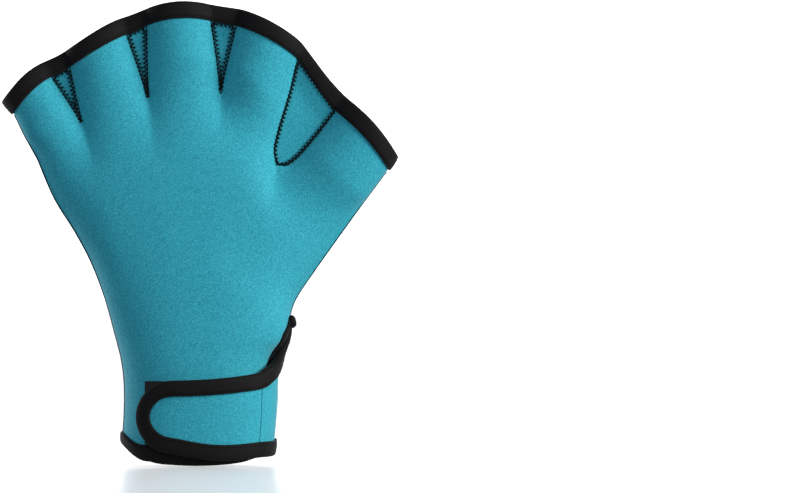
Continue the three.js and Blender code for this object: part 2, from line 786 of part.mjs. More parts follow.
// Tape from the slit's end down the palm panel's edge, round the strap and back along the cuff
function strapTape() {
  const edgeColumn = columnsOf().length - 1;
  const seamColumn = palmPanel.grid[0].length - 1;
  const openRow = ROWS.findIndex((row, n) => n > 0 && row.wrap === 0);
  const columnAt = (row) => (row < openRow ? seamColumn : edgeColumn);
  const slitRows = [...Array(3 * (SLIT_ROW - 1 - STRAP_TOP_ROW) + 1).keys()].map((n) => SLIT_ROW - 1 - n / 3);
  const top = strap.grid.length - 1;
  const columns = [...Array(strap.grid[0].length).keys()];
  const round = [
    ...[...columns].reverse().slice(1).map((n) => ({ edge: strap.grid[top][n], lift: strap.lift[top][n] })),
    ...columns.slice(1).map((n) => ({ edge: strap.grid[0][n], lift: strap.lift[0][n] })),
  ];
  const slitEnd = palmPanel.grid[SLIT_ROW][edgeColumn];
  const slit = slitStations(palmPanel, slitRows, columnAt, slitEnd, round[0].edge);
  const seam = palmPanel.grid[STRAP_TOP_ROW][seamColumn];
  const edges = [seam, ...round.map((item) => item.edge), palmPanel.grid[0][seamColumn - 1]];
  const square = round.map(({ edge, lift }, n) => squareStation(edge, lift, edges[n], edges[n + 2]));
  const cuffColumns = [...palmPanel.grid[0].keys()].slice(edgeColumn, seamColumn).reverse();
  const cuff = cuffColumns.map((column) => ladderStation(palmPanel, column));
  const end = cuff[cuff.length - 1];
  const previous = cuff[cuff.length - 2];
  const share = (2 * CLEARANCE) / end.places[3].distanceTo(previous.places[3]);
  end.places = end.places.map((place, n) => place.clone().lerp(previous.places[n], share));
  return foldedTape([...slit, ...square, ...cuff]);
}

// The hook and loop patches under the strap's end

function handSurface(x, z) {
  const left = littleSideAt(z);
  const share = (x - left) / (tuckedThumbSideAt(z) - left);
  return new THREE.Vector3(x, -handDepth(x, z, "back") - lerp(SEAM_HALF, SLIT_HALF, share), z);
}

function patchGrid(left, bottom, length, height, place) {
  return PATCH_ROWS.map((up) =>
    PATCH_COLUMNS.map((share) => place(left + share * length, bottom + up * height)),
  );
}

function loopPatch() {
  const stand = 2 * CLEARANCE + PATCH_WALL;
  const onHand = (x, z) => handSurface(x, z).addScaledVector(strapNormal(strapPoint(x, z)), stand);
  const bottom = STRAP_END_Z + LOOP_PATCH_RISE - LOOP_PATCH_HEIGHT / 2;
  return sheet(patchGrid(LOOP_PATCH_LEFT, bottom, LOOP_PATCH_LENGTH, LOOP_PATCH_HEIGHT, onHand), {
    wall: PATCH_WALL,
  }).geometry;
}

function hookPatch() {
  const depth = NEOPRENE + CLEARANCE;
  const underStrap = (x, z) => strapPoint(x, z).addScaledVector(strapNormal(strapPoint(x, z)), -depth);
  const bottom = STRAP_END_Z - HOOK_PATCH_HEIGHT / 2;
  const left = STRAP_SEAM_X - STRAP_LENGTH + TAPE_WIDTH + 4 * TAPE_STAND;
  return sheet(patchGrid(left, bottom, HOOK_PATCH_LENGTH, HOOK_PATCH_HEIGHT, underStrap), {
    wall: PATCH_WALL,
  }).geometry;
}

const glove = new THREE.Group();

function addPiece(name, geometry, look) {
  const mesh = new THREE.Mesh(geometry, new THREE.MeshStandardMaterial(look));
  mesh.name = name;
  glove.add(mesh);
}

const strap = sheet(strapGrid(), {});
addPiece("back_panel", backPanel.geometry, TEAL);
addPiece("palm_panel", palmPanel.geometry, TEAL);
addPiece("wrist_strap", strap.geometry, TEAL);
addPiece("finger_binding_back", fanTape(backPanel), BLACK_TAPE);
addPiece("finger_binding_palm", fanTape(palmPanel), BLACK_TAPE);
addPiece("cuff_binding", cuffTape(), BLACK_TAPE);
addPiece("slit_binding", slitTape(), BLACK_TAPE);
addPiece("strap_binding", strapTape(), BLACK_TAPE);
addPiece("loop_patch", loopPatch(), BLACK_PATCH);
addPiece("hook_patch", hookPatch(), BLACK_PATCH);

export default glove;
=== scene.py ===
import math

import bmesh
import bpy
import numpy as np
from mathutils import Matrix, Vector
from mathutils.bvhtree import BVHTree


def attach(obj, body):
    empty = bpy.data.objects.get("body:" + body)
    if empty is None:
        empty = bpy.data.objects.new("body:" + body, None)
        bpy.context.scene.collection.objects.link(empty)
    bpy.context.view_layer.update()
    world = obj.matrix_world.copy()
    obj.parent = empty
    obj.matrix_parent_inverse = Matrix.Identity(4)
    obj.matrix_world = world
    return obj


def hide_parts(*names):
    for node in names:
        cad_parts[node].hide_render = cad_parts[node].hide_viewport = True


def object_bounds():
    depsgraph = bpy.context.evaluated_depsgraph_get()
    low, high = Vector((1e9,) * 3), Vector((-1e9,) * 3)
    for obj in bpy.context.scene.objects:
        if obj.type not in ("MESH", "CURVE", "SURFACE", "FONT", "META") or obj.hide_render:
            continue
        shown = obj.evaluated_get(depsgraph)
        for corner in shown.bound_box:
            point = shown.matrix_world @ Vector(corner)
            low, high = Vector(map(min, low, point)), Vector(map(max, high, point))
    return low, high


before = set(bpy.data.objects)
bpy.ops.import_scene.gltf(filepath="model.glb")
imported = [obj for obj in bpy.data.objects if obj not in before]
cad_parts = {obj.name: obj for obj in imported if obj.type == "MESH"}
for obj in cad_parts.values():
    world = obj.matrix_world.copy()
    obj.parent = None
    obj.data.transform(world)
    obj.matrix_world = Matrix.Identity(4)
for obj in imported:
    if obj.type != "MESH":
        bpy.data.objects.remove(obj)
cad_low, cad_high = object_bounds()
MM = 0.001

# Camera: level with the glove, square to the back of the hand and far off, as for a catalogue
# picture. It is panned a little so that the glove fills the left half of the frame.
PHOTO_WIDTH, PHOTO_HEIGHT = 800, 493
PHOTO_MM_PER_PIXEL = 0.498
GLOVE_PIXEL = (199.8, 233.1)
CAMERA_DISTANCE = 4000 * MM
SENSOR_WIDTH = 36 * MM


def add_camera(target):
    data = bpy.data.cameras.new("camera")
    data.sensor_width = SENSOR_WIDTH / MM
    data.lens = SENSOR_WIDTH / MM * CAMERA_DISTANCE / (PHOTO_WIDTH * PHOTO_MM_PER_PIXEL * MM)
    camera = bpy.data.objects.new("camera", data)
    bpy.context.scene.collection.objects.link(camera)
    right = (PHOTO_WIDTH / 2 - GLOVE_PIXEL[0]) * PHOTO_MM_PER_PIXEL * MM
    down = (PHOTO_HEIGHT / 2 - GLOVE_PIXEL[1]) * PHOTO_MM_PER_PIXEL * MM
    camera.location = target + Vector((0, -CAMERA_DISTANCE, 0))
    camera.rotation_euler = (
        math.pi / 2 - math.atan2(down, CAMERA_DISTANCE),
        0,
        -math.atan2(right, CAMERA_DISTANCE),
    )
    bpy.context.scene.camera = camera


glove_middle = Vector((cad_low[i] + cad_high[i]) / 2 for i in range(3))
add_camera(Vector((glove_middle.x, 0, glove_middle.z)))


# Studio: a satin white table and a white wall behind it, lit so brightly that both burn out to
# white. A soft light on the right leaves the left flank of each finger in shade.
TABLE_SIZE, WALL_DISTANCE, WALL_HEIGHT = 20.0, 9.0, 5.0
STUDIO_WHITE = "#f7f8f9"
TABLE_GLOW, WALL_GLOW = 0.14, 1.55
LIGHTS = [
    {"name": "key", "at": (1.1, -0.52, 0.45), "size": 0.8, "watts": 20.0, "white": "#fffdf8"},
    {"name": "fill", "at": (-0.4, -1.1, 0.5), "size": 0.7, "watts": 2.6, "white": "#f0f6ff"},
    {"name": "edge", "at": (-0.9, 0.5, 0.1), "size": 0.5, "watts": 5, "white": "#ffffff"},
]
WORLD_STRENGTH = 0.29
SKY_BLUE = "#e8f0ff"


def linear(hex_colour):
    values = [int(hex_colour[i : i + 2], 16) / 255 for i in (1, 3, 5)]
    return [v / 12.92 if v <= 0.04045 else ((v + 0.055) / 1.055) ** 2.4 for v in values] + [1.0]


def new_material(name):
    material = bpy.data.materials.new(name)
    material.use_nodes = True
    shader = material.node_tree.nodes["Principled BSDF"]
    return material, material.node_tree, shader


def add_node(tree, kind, settings=None, inputs=None, links=None):
    """Adds a node with its settings and input values, and links sockets of other nodes to it."""
    node = tree.nodes.new(kind)
    for name, value in (settings or {}).items():
        setattr(node, name, value)
    for name, value in (inputs or {}).items():
        node.inputs[name].default_value = value
    for name, source in (links or {}).items():
        tree.links.new(source, node.inputs[name])
    return node


def new_object(name, mesh, material):
    piece = bpy.data.objects.new(name, mesh)
    bpy.context.scene.collection.objects.link(piece)
    mesh.materials.clear()
    mesh.materials.append(material)
    return piece


def add_studio_board(name, corners, glow, roughness):
    material, tree, shader = new_material("white laminate, " + name)
    shader.inputs["Base Color"].default_value = linear(STUDIO_WHITE)
    shader.inputs["Roughness"].default_value = roughness
    shader.inputs["Emission Color"].default_value = (1, 1, 1, 1)
    shader.inputs["Emission Strength"].default_value = glow
    mesh = bpy.data.meshes.new(name)
    mesh.from_pydata(corners, [], [(0, 1, 2, 3)])
    board = new_object(name, mesh, material)
    board.visible_diffuse = False


def add_studio(floor_z):
    half, low, top = TABLE_SIZE / 2, floor_z - 0.5 * MM, floor_z + WALL_HEIGHT
    table = [(-half, -half, low), (half, -half, low), (half, half, low), (-half, half, low)]
    wall = [(-half, WALL_DISTANCE, low), (half, WALL_DISTANCE, low), (half, WALL_DISTANCE, top),
            (-half, WALL_DISTANCE, top)]
    add_studio_board("table", table, TABLE_GLOW, 0.28)
    add_studio_board("wall", wall, WALL_GLOW, 0.9)


def add_lights(target):
    for entry in LIGHTS:
        data = bpy.data.lights.new(entry["name"], "AREA")
        data.shape = "DISK"
        data.size = entry["size"]
        data.energy = entry["watts"]
        data.color = linear(entry["white"])[:3]
        light = bpy.data.objects.new(entry["name"], data)
        bpy.context.scene.collection.objects.link(light)
        light.location = target + Vector(entry["at"])
        light.rotation_euler = (-Vector(entry["at"])).to_track_quat("-Z", "Y").to_euler()
    world = bpy.data.worlds.new("studio")
    world.use_nodes = True
    world.node_tree.nodes["Background"].inputs["Strength"].default_value = WORLD_STRENGTH
    world.node_tree.nodes["Background"].inputs["Color"].default_value = linear(SKY_BLUE)
    bpy.context.scene.world = world


add_studio(cad_low[2])
add_lights(glove_middle)
bpy.context.scene.view_settings.view_transform = "Standard"


# Back panel: one piece of 2 mm neoprene from the cuff to the fan edge, moulded into five finger
# channels. Between the channels it lies flat on the palm panel, and is sewn to it to make a web.
# On the thumb side below the slit its edge goes under the strap.
GLOVE_HEIGHT = 231.5
FAN_SPAN = 198
NEOPRENE = 2
WRIST_HALF_DEPTH = 24
FINGER_HALF_DEPTH = 11.5
VALLEY_FADE = 30
TAPE_WIDTH = 7.5
TAPE_STAND = 1.1
SEAM_HALF = 0.15
SLIT_HALF = 1.7
WEB_DEPTH = NEOPRENE + SEAM_HALF
TAPED_WEB_DEPTH = NEOPRENE + SLIT_HALF
STRAP_LIFT = 2 * (NEOPRENE + TAPE_STAND)
HAND_ROUNDNESS = 2.3
CHANNEL_ROUNDNESS = 0.8
CREASE_FADE = 5
WEB_SAG = 0.05
CUFF_BULGE = 1.8
LITTLE_CUFF_HEM = 5.0
# Levels run from 0 above the hem at the cuff to 1 at the web tips, and again to 1 below the fan tape
WRIST_LEVEL, HAND_LEVEL = 0.4, 0.58
SLIT_LEVEL, SLIT_PARTING = 0.556, 0.03
STRAP_LEVEL = 0.29
CUFF_BULGE_LEVEL = 0.15
TAPED_WEB_LEVEL = 0.76
WRAP_BLEND = 0.1

# Marks on the outline and on the webs' edges, as shares of the span and of the height
LITTLE_BODY = [(-0.194, 0.05), (-0.189, 0.114), (-0.189, 0.174), (-0.196, 0.225), (-0.214, 0.286),
               (-0.237, 0.356), (-0.273, 0.436), (-0.312, 0.499), (-0.364, 0.571), (-0.408, 0.658)]
LITTLE_FINGER = [(-0.408, 0.658), (-0.441, 0.709), (-0.468, 0.755), (-0.492, 0.779)]
THUMB_BODY = [(0.185, 0.0235), (0.196, 0.138), (0.198, 0.194), (0.208, 0.236), (0.223, 0.273),
              (0.228, 0.302), (0.229, 0.328), (0.244, 0.359), (0.286, 0.413), (0.339, 0.477),
              (0.366, 0.509)]
THUMB_FINGER = [(0.366, 0.509), (0.392, 0.54), (0.445, 0.601), (0.474, 0.635), (0.494, 0.661)]
WEBS = [
    {"name": "little_ring", "cuff": -0.126, "back": 0.013, "palm": 0.038, "middle": (-0.182, 0.367),
     "tip": (-0.297, 0.736), "left": [(-0.3935, 0.859)], "right": [(-0.334, 0.885)]},
    {"name": "ring_middle", "cuff": -0.063, "back": 0.006, "palm": 0.031, "middle": (-0.076, 0.389),
     "tip": (-0.13, 0.79), "left": [(-0.197, 0.954)], "right": [(-0.134, 0.9745)]},
    {"name": "middle_index", "cuff": 0.018, "back": 0.0048, "palm": 0.028, "middle": (0.03, 0.397),
     "tip": (0.053, 0.805), "left": [(0.022, 0.985)], "right": [(0.101, 0.974)]},
    {"name": "index_thumb", "cuff": 0.106, "back": 0.011, "palm": 0.027, "middle": (0.146, 0.346),
     "tip": (0.193, 0.648), "left": [(0.187, 0.674), (0.196, 0.713), (0.229, 0.81), (0.254, 0.903)],
     "right": [(0.212, 0.642), (0.236, 0.653), (0.29, 0.703), (0.364, 0.786)]},
]
# How far each finger's opening bulges past the straight line between its webs, in millimetres
FINGER_BULGES = [1.2, 0.6, 1.6, 0.4, 2.0]
# Height of each channel's crest over the plane of the webs, as a share of the finger's half depth
CRESTS = {"back": [0.87, 0.97, 1.0, 1.0, 1.04], "palm": [0.8, 0.88, 0.9, 0.9, 0.92]}
# Half depth of the hand by height, and where the slit's two edges lie by level up the body
HAND_DEPTH = {"at": [0, 0.2, 0.35, 0.5, 0.65, 1], "back": [1, 0.95, 0.84, 0.7, 0.58, 0.52],
              "palm": [0.98, 0.92, 0.8, 0.65, 0.52, 0.46]}
SLIT_SHAPE = {"at": [0, 0.2, 0.29, 0.335, 0.38, 0.43, 0.49, 0.54, 0.556, 1],
              "tuck": [1, 1, 1, 1, 0.85, 0.45, 0.14, 0.02, 0, 0],
              "wrap": [1, 1, 1, 0.38, 0.1, 0.03, 0, 0, 0, 0]}
FINGER_STEPS, WEB_STEPS, WRAP_STEPS = 22, 6, 26
PANEL_COLUMNS = 5 * FINGER_STEPS + 4 * WEB_STEPS + 1
BODY_STEPS, CHANNEL_STEPS, HEM_STEPS = 84, 26, 4
TOWARD = {"back": -1, "palm": 1}


def smooth_line(points, shares):
    """A centripetal Catmull-Rom curve through points, at shares of its run."""
    points = np.asarray(points, float)
    ends = np.vstack([2 * points[0] - points[1], points, 2 * points[-1] - points[-2]])
    place = np.clip(np.atleast_1d(shares), 0, 1) * (len(points) - 1)
    first = np.minimum(place.astype(int), len(points) - 2)
    t = (place - first)[:, None]
    a, b, c, d = (ends[first + k] for k in range(4))
    before, here, after = (np.sum((q - p) ** 2, 1)[:, None] ** 0.25 for p, q in ((a, b), (b, c), (c, d)))
    start = ((b - a) / before - (c - a) / (before + here) + (c - b) / here) * here
    end = ((c - b) / here - (d - b) / (here + after) + (d - c) / after) * here
    return b + start * t + (3 * (c - b) - 2 * start - end) * t**2 + (2 * (b - c) + start + end) * t**3


def smooth_table(table, column, at):
    """A table's column read between its rows, without overshoot."""
    x, y = np.asarray(table["at"], float), np.asarray(table[column], float)
    slopes = np.diff(y) / np.diff(x)
    product, total = slopes[1:] * slopes[:-1], slopes[1:] + slopes[:-1]
    inner = np.where(product > 0, 2 * product / (total + 1e-12), 0)
    ends = np.concatenate([[slopes[0]], inner, [slopes[-1]]])
    at = np.clip(at, x[0], x[-1])
    n = np.clip(np.searchsorted(x, at, side="right") - 1, 0, len(x) - 2)
    step = x[n + 1] - x[n]
    t = (at - x[n]) / step
    return (y[n] * (1 + 2 * t) * (1 - t) ** 2 + ends[n] * step * t * (1 - t) ** 2
            + y[n + 1] * t**2 * (3 - 2 * t) + ends[n + 1] * step * t**2 * (t - 1))


def smooth_step(value, low, high):
    t = np.clip((value - low) / (high - low), 0, 1)
    return t * t * (3 - 2 * t)


def along_run(points):
    return np.concatenate([[0], np.cumsum(np.linalg.norm(np.diff(points, axis=0), axis=1))])


def dividing_line(marks):
    points = smooth_line([(x * FAN_SPAN, z * GLOVE_HEIGHT) for x, z in marks], np.linspace(0, 1, 401))
    return {"points": points, "run": along_run(points)}


def dividing_lines(side):
    body, finger = [dividing_line(LITTLE_BODY)], [dividing_line(LITTLE_FINGER)]
    for web in WEBS:
        body.append(dividing_line([(web["cuff"], web[side]), web["middle"], web["tip"]]))
        finger += [dividing_line([web["tip"], *web["left"]]), dividing_line([web["tip"], *web["right"]])]
    return {"body": body + [dividing_line(THUMB_BODY)], "finger": finger + [dividing_line(THUMB_FINGER)]}


lines = {side: dividing_lines(side) for side in ("back", "palm")}
outline = {
    name: np.vstack([body["points"], finger["points"]])
    for name, body, finger in (
        ("little", lines["back"]["body"][0], lines["back"]["finger"][0]),
        ("thumb", lines["back"]["body"][-1], lines["back"]["finger"][-1]),
    )
}


def side_at(name, z):
    return np.interp(z, outline[name][:, 1], outline[name][:, 0])


def crossing(line, zone, row):
    """Where a row crosses a dividing line: rows keep the tape's width clear at cuff and fan edge."""
    length = line["run"][-1]
    if zone == "body":
        on_little_side = line["points"][0][0] < LITTLE_BODY[1][0] * FAN_SPAN
        hem = LITTLE_CUFF_HEM if on_little_side else TAPE_WIDTH
        walked = hem + row["level"] * (length - hem) if row["hem"] is None else row["hem"] * hem
    else:
        inner = length - TAPE_WIDTH
        walked = row["level"] * inner if row["hem"] is None else inner + row["hem"] * TAPE_WIDTH
    return np.array([np.interp(walked, line["run"], line["points"][:, k]) for k in range(2)])


def make_rows():
    hem = [{"zone": "body", "level": 0.0, "hem": k / HEM_STEPS} for k in range(HEM_STEPS)]
    low = np.linspace(0, STRAP_LEVEL, BODY_STEPS // 4 + 1)[:-1]
    levels = np.concatenate([low, np.linspace(STRAP_LEVEL, 1, BODY_STEPS * 3 // 4 + 1)])
    body = [{"zone": "body", "level": float(level), "hem": None} for level in levels]
    finger = [{"zone": "finger", "level": float(level), "hem": None}
              for level in np.linspace(0, 1, CHANNEL_STEPS + 1)[1:]]
    top = [{"zone": "finger", "level": 1.0, "hem": k / HEM_STEPS} for k in range(1, HEM_STEPS + 1)]
    return hem + body + finger + top


rows = make_rows()
TIP_ROW = max(n for n, row in enumerate(rows) if row["zone"] == "body")
tuck_by_z = {
    "at": [crossing(lines["back"]["body"][-1], "body", row)[1] for row in rows if row["zone"] == "body"],
    "tuck": [float(smooth_table(SLIT_SHAPE, "tuck", row["level"])) for row in rows if row["zone"] == "body"],
}


def web_column(web):
    return FINGER_STEPS * (web + 1) + WEB_STEPS * web


def half_depth(z, side):
    return smooth_table(HAND_DEPTH, side, z / GLOVE_HEIGHT) * WRIST_HALF_DEPTH


def oval_share(x, left, right):
    across = np.clip((2 * x - left - right) / (right - left), -1, 1)
    return (1 - np.abs(across) ** HAND_ROUNDNESS) ** (1 / HAND_ROUNDNESS)


def panel_row(side, row):
    """The outer surface of a panel along one row, from the little side to the thumb side."""
    in_body = row["zone"] == "body"
    marks = np.array([crossing(line, row["zone"], row) for line in lines[side][row["zone"]]])
    level = row["level"]
    tuck = float(smooth_table(SLIT_SHAPE, "tuck", level)) if in_body else 0.0
    if side == "back" and in_body:
        marks[-1, 0] -= STRAP_LIFT * tuck
    tip = lines[side]["body"][2]["points"][-1]
    middle = marks[(len(marks) - 1) // 2]
    crispness = 1 - smooth_step(np.linalg.norm(middle - tip), 0, VALLEY_FADE) if in_body else 1.0
    slant = float(smooth_step(level, WRIST_LEVEL, HAND_LEVEL)) if in_body else 1.0
    opening = min(1.0, max(0.0, (SLIT_LEVEL - level) / SLIT_PARTING)) if in_body else 0.0
    wrapped = side == "palm" and in_body and smooth_table(SLIT_SHAPE, "wrap", level) > 0
    thumb_edge = SEAM_HALF + (SLIT_HALF - SEAM_HALF) * opening
    if wrapped:
        thumb_edge *= float(1 - smooth_step(smooth_table(SLIT_SHAPE, "wrap", level), 0, WRAP_BLEND))
    web_depth = WEB_DEPTH
    if not in_body:
        web_depth += (TAPED_WEB_DEPTH - WEB_DEPTH) * smooth_step(level, TAPED_WEB_LEVEL, 1)
    toward = TOWARD[side]
    walked = along_run(marks)

    share = (1 - np.cos(np.linspace(0, math.pi, FINGER_STEPS + 1))) / 2
    out = []
    for number in range(5):
        position = number + share if in_body else 2 * number + share
        flat = smooth_line(marks, position / (len(marks) - 1))
        if number == 0 and in_body:
            at_cuff = 1 - smooth_step(level, 0, CUFF_BULGE_LEVEL)
            flat[:, 1] -= CUFF_BULGE * np.sin(math.pi * share) * at_cuff
        if not in_body:
            chord = marks[2 * number + 1] - marks[2 * number]
            beyond = np.array([-chord[1], chord[0]]) / np.linalg.norm(chord)
            flat += level * FINGER_BULGES[number] * np.sin(math.pi * share)[:, None] * beyond
        near = SEAM_HALF if number == 0 else web_depth
        far = thumb_edge if number == 4 else web_depth
        base = near + (far - near) * share
        seam_side = ((share < 0.5) & (number == 0)) | ((share > 0.5) & (number == 4))
        wave = np.sin(math.pi * share)
        round_side = np.sqrt(np.clip(1 - (2 * share - 1) ** 2, 0, 1))
        crisp = np.where(seam_side, round_side, np.abs(wave) ** CHANNEL_ROUNDNESS)
        sharp = np.where(seam_side, crispness, crispness**CREASE_FADE)
        crest = CRESTS[side][number] * FINGER_HALF_DEPTH
        channel = base + (crest - base) * (wave**2 + (crisp - wave**2) * sharp)
        depth = channel
        if in_body:
            z = flat[:, 1]
            tucked = np.interp(z, tuck_by_z["at"], tuck_by_z["tuck"]) * (side == "back")
            thumb_side = side_at("thumb", z) - STRAP_LIFT * tucked
            across = number + share
            level_oval = oval_share(flat[:, 0], side_at("little", z), thumb_side)
            level_oval = np.where((across == 0) | (across == 5), 0, level_oval)
            slant_oval = oval_share(np.interp(across, range(len(marks)), walked), 0, walked[-1])
            edge = SEAM_HALF + (thumb_edge - SEAM_HALF) * across / 5
            hand = edge + half_depth(z, side) * (level_oval + (slant_oval - level_oval) * slant)
            depth = hand + (channel - hand) * crispness
        if number > 0:
            if in_body:
                web = np.repeat([[flat[0, 0], toward * depth[0], flat[0, 1]]], WEB_STEPS - 1, axis=0)
            else:
                between = 2 * number - 1 + np.linspace(0, 1, WEB_STEPS + 1)[1:-1]
                plan = smooth_line(marks, between / (len(marks) - 1))
                left, right = marks[2 * number - 1], marks[2 * number]
                down = (lines[side]["body"][number]["points"][-1] - (left + right) / 2) * level
                bow = np.sin(math.pi * (between - 2 * number + 1))
                sag = WEB_SAG * np.linalg.norm(right - left) * bow
                plan += sag[:, None] * down / (np.linalg.norm(down) + 1e-9)
                web = np.column_stack([plan[:, 0], np.full(len(plan), toward * web_depth), plan[:, 1]])
            out.append(web)
        out.append(np.column_stack([flat[:, 0], toward * depth, flat[:, 1]]))
    return np.vstack(out)


RELAX_PASSES, RELAX_STEP = 70, 0.7
RELAXED_BODY, RELAXED_FINGER = (0.42, 0.62), (0.02, 0.5)


def relax(grid):
    """Eases the cloth round the web tips, where five channels run into the smooth hand. The webs,
    the side seams, the slit and the edges stay where they are."""
    ease = np.zeros(grid.shape[:2])
    for n, row in enumerate(rows):
        if row["hem"] is None and row["zone"] == "body":
            ease[n] = smooth_step(row["level"], *RELAXED_BODY)
        elif row["hem"] is None:
            ease[n] = 1 - smooth_step(row["level"], *RELAXED_FINGER)
    ease[:, 0] = 0
    ease[:, PANEL_COLUMNS - 1 :] = 0
    for web in range(4):
        start = web_column(web)
        ease[TIP_ROW:, start : start + WEB_STEPS + 1] = 0
    held = grid.copy()
    for _ in range(RELAX_PASSES):
        around = held.copy()
        around[1:-1, 1:-1] = (held[:-2, 1:-1] + held[2:, 1:-1] + held[1:-1, :-2] + held[1:-1, 2:]) / 4
        held = held + RELAX_STEP * ease[:, :, None] * (around - held)
    return held


def merge_grid(grid):
    """The grid's points without repeats, and its faces without the ones that have closed up."""
    rounded = np.round(grid.reshape(-1, 3), 4)
    _, first, ids = np.unique(rounded, axis=0, return_index=True, return_inverse=True)
    ids = ids.reshape(grid.shape[:2])
    faces = []
    for i in range(len(ids) - 1):
        for j in range(ids.shape[1] - 1):
            corners = [ids[i, j], ids[i, j + 1], ids[i + 1, j + 1], ids[i + 1, j]]
            kept = [int(c) for n, c in enumerate(corners) if c != corners[n - 1]]
            if len(kept) > 2:
                faces.append(kept)
    return grid.reshape(-1, 3)[first], faces, ids


def surface_normals(points, faces, on_seam):
    """Unit normals of a sheet; those on a side seam count the other half of the glove too."""
    sums = np.zeros_like(points)
    for face in faces:
        corners = points[face]
        normal = np.cross(corners[2] - corners[0], corners[-1] - corners[1])
        normal /= max(np.linalg.norm(normal), 1e-12)
        sums[face] += normal
    sums[on_seam, 1] = 0
    return sums / np.maximum(np.linalg.norm(sums, axis=1)[:, None], 1e-9)


def make_sheet(grid, wall, outwards, side=0):
    """A closed sheet: the grid is its outer face, and the lining lies one wall inside it."""
    points, faces, ids = merge_grid(grid)
    on_seam = np.abs(np.abs(points[:, 1]) - SEAM_HALF) < 1e-6 if side else np.zeros(len(points), bool)
    normals = surface_normals(points, faces, on_seam)
    if np.sum(normals * outwards(points)) < 0:
        faces = [face[::-1] for face in faces]
        normals = -normals
    lining = points - wall * normals
    if side:
        inner = side * np.maximum(side * lining[:, 1], SEAM_HALF)
        lining[:, 1] = np.where(side * points[:, 1] > 0, inner, lining[:, 1])
    count = len(points)
    edges = {(f[k - 1], f[k]) for f in faces for k in range(len(f))}
    rim = [(b, a, a + count, b + count) for a, b in edges if (b, a) not in edges]
    closed = [*faces, *[[i + count for i in face[::-1]] for face in faces], *rim]
    return {"points": points, "faces": faces, "ids": ids, "normals": normals,
            "all": np.vstack([points, lining]), "closed": closed, "grid": grid}


def sheet_object(name, sheet, material, crease=38):
    mesh = bpy.data.meshes.new(name)
    mesh.from_pydata((sheet["all"] * MM).tolist(), [], [list(map(int, f)) for f in sheet["closed"]])
    mesh.shade_smooth()
    mesh.set_sharp_from_angle(angle=math.radians(crease))
    return new_object(name, mesh, material)


# Knit-faced neoprene: foam rubber with a fine jersey laminated to it, dyed teal. The eye gets a
# matt, faintly fuzzy surface with a speckle of loops about 0.6 mm apart.
TEAL_FACE, TEAL_SHADE, TEAL_GLINT = "#2ca2b5", "#238ea3", "#41bcc9"
KNIT_PITCH = 0.62


def finish_cloth(tree, shader, finish, height, stops, bump):
    """Sets a cloth's finish, and lets a height pattern colour it by stops and emboss it."""
    for name, value in finish.items():
        shader.inputs[name].default_value = value
    ramp = add_node(tree, "ShaderNodeValToRGB", links={"Fac": height})
    elements = ramp.color_ramp.elements
    for number, (position, colour) in enumerate(stops):
        element = elements[number] if number < 2 else elements.new(position)
        element.position = position
        element.color = linear(colour)
    tree.links.new(ramp.outputs["Color"], shader.inputs["Base Color"])
    relief = add_node(tree, "ShaderNodeBump", {}, bump, {"Height": height})
    tree.links.new(relief.outputs["Normal"], shader.inputs["Normal"])


def knit_neoprene():
    material, tree, shader = new_material("knit-faced neoprene, dyed teal")
    place = add_node(tree, "ShaderNodeTexCoord")
    loops = add_node(tree, "ShaderNodeTexVoronoi", {"feature": "F1"},
                     {"Scale": 1 / (KNIT_PITCH * MM), "Randomness": 0.85},
                     {"Vector": place.outputs["Object"]})
    fuzz = add_node(tree, "ShaderNodeTexNoise", {}, {"Scale": 0.8 / (KNIT_PITCH * MM), "Detail": 2.0},
                    {"Vector": place.outputs["Object"]})
    mix = add_node(tree, "ShaderNodeMix", {"data_type": "FLOAT"}, {"Factor": 0.5},
                   {"A": loops.outputs["Distance"], "B": fuzz.outputs["Fac"]})
    finish = {"Roughness": 0.78, "Specular IOR Level": 0.25, "Sheen Weight": 0.18, "Sheen Roughness": 0.45}
    stops = [(0.3, TEAL_GLINT), (0.66, TEAL_SHADE), (0.46, TEAL_FACE)]
    finish_cloth(tree, shader, finish, mix.outputs["Result"], stops,
                 {"Strength": 0.35, "Distance": 0.25 * MM})
    return material


neoprene = knit_neoprene()


def panel_grid(side):
    return relax(np.array([panel_row(side, row) for row in rows]))


def away_from_middle(points):
    return points * np.array([0.2, 1.0, 0.0])


back = make_sheet(panel_grid("back"), NEOPRENE, away_from_middle, side=-1)
back_panel = sheet_object("back_panel_cloth", back, neoprene)
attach(back_panel, "root")
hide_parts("back_panel")


# Palm panel: the same cut from the other side. Below the slit it goes on round the thumb side to
# the back of the wrist, where the strap is sewn to it.
STRAP_SEAM_X, STRAP_SEAM_TOP, STRAP_SEAM_BOTTOM = 31, 44.8, 4.9
STRAP_SEAM_LEAN = 2.6


def strap_seam_at(z):
    return STRAP_SEAM_X - STRAP_SEAM_LEAN * np.clip((STRAP_SEAM_TOP - z) / STRAP_SEAM_TOP, 0, 1) ** 2


def strap_point(x, z):
    left, right = side_at("little", z) - STRAP_LIFT, side_at("thumb", z)
    return np.stack([x, -(half_depth(z, "back") + STRAP_LIFT) * oval_share(x, left, right), z], axis=-1)


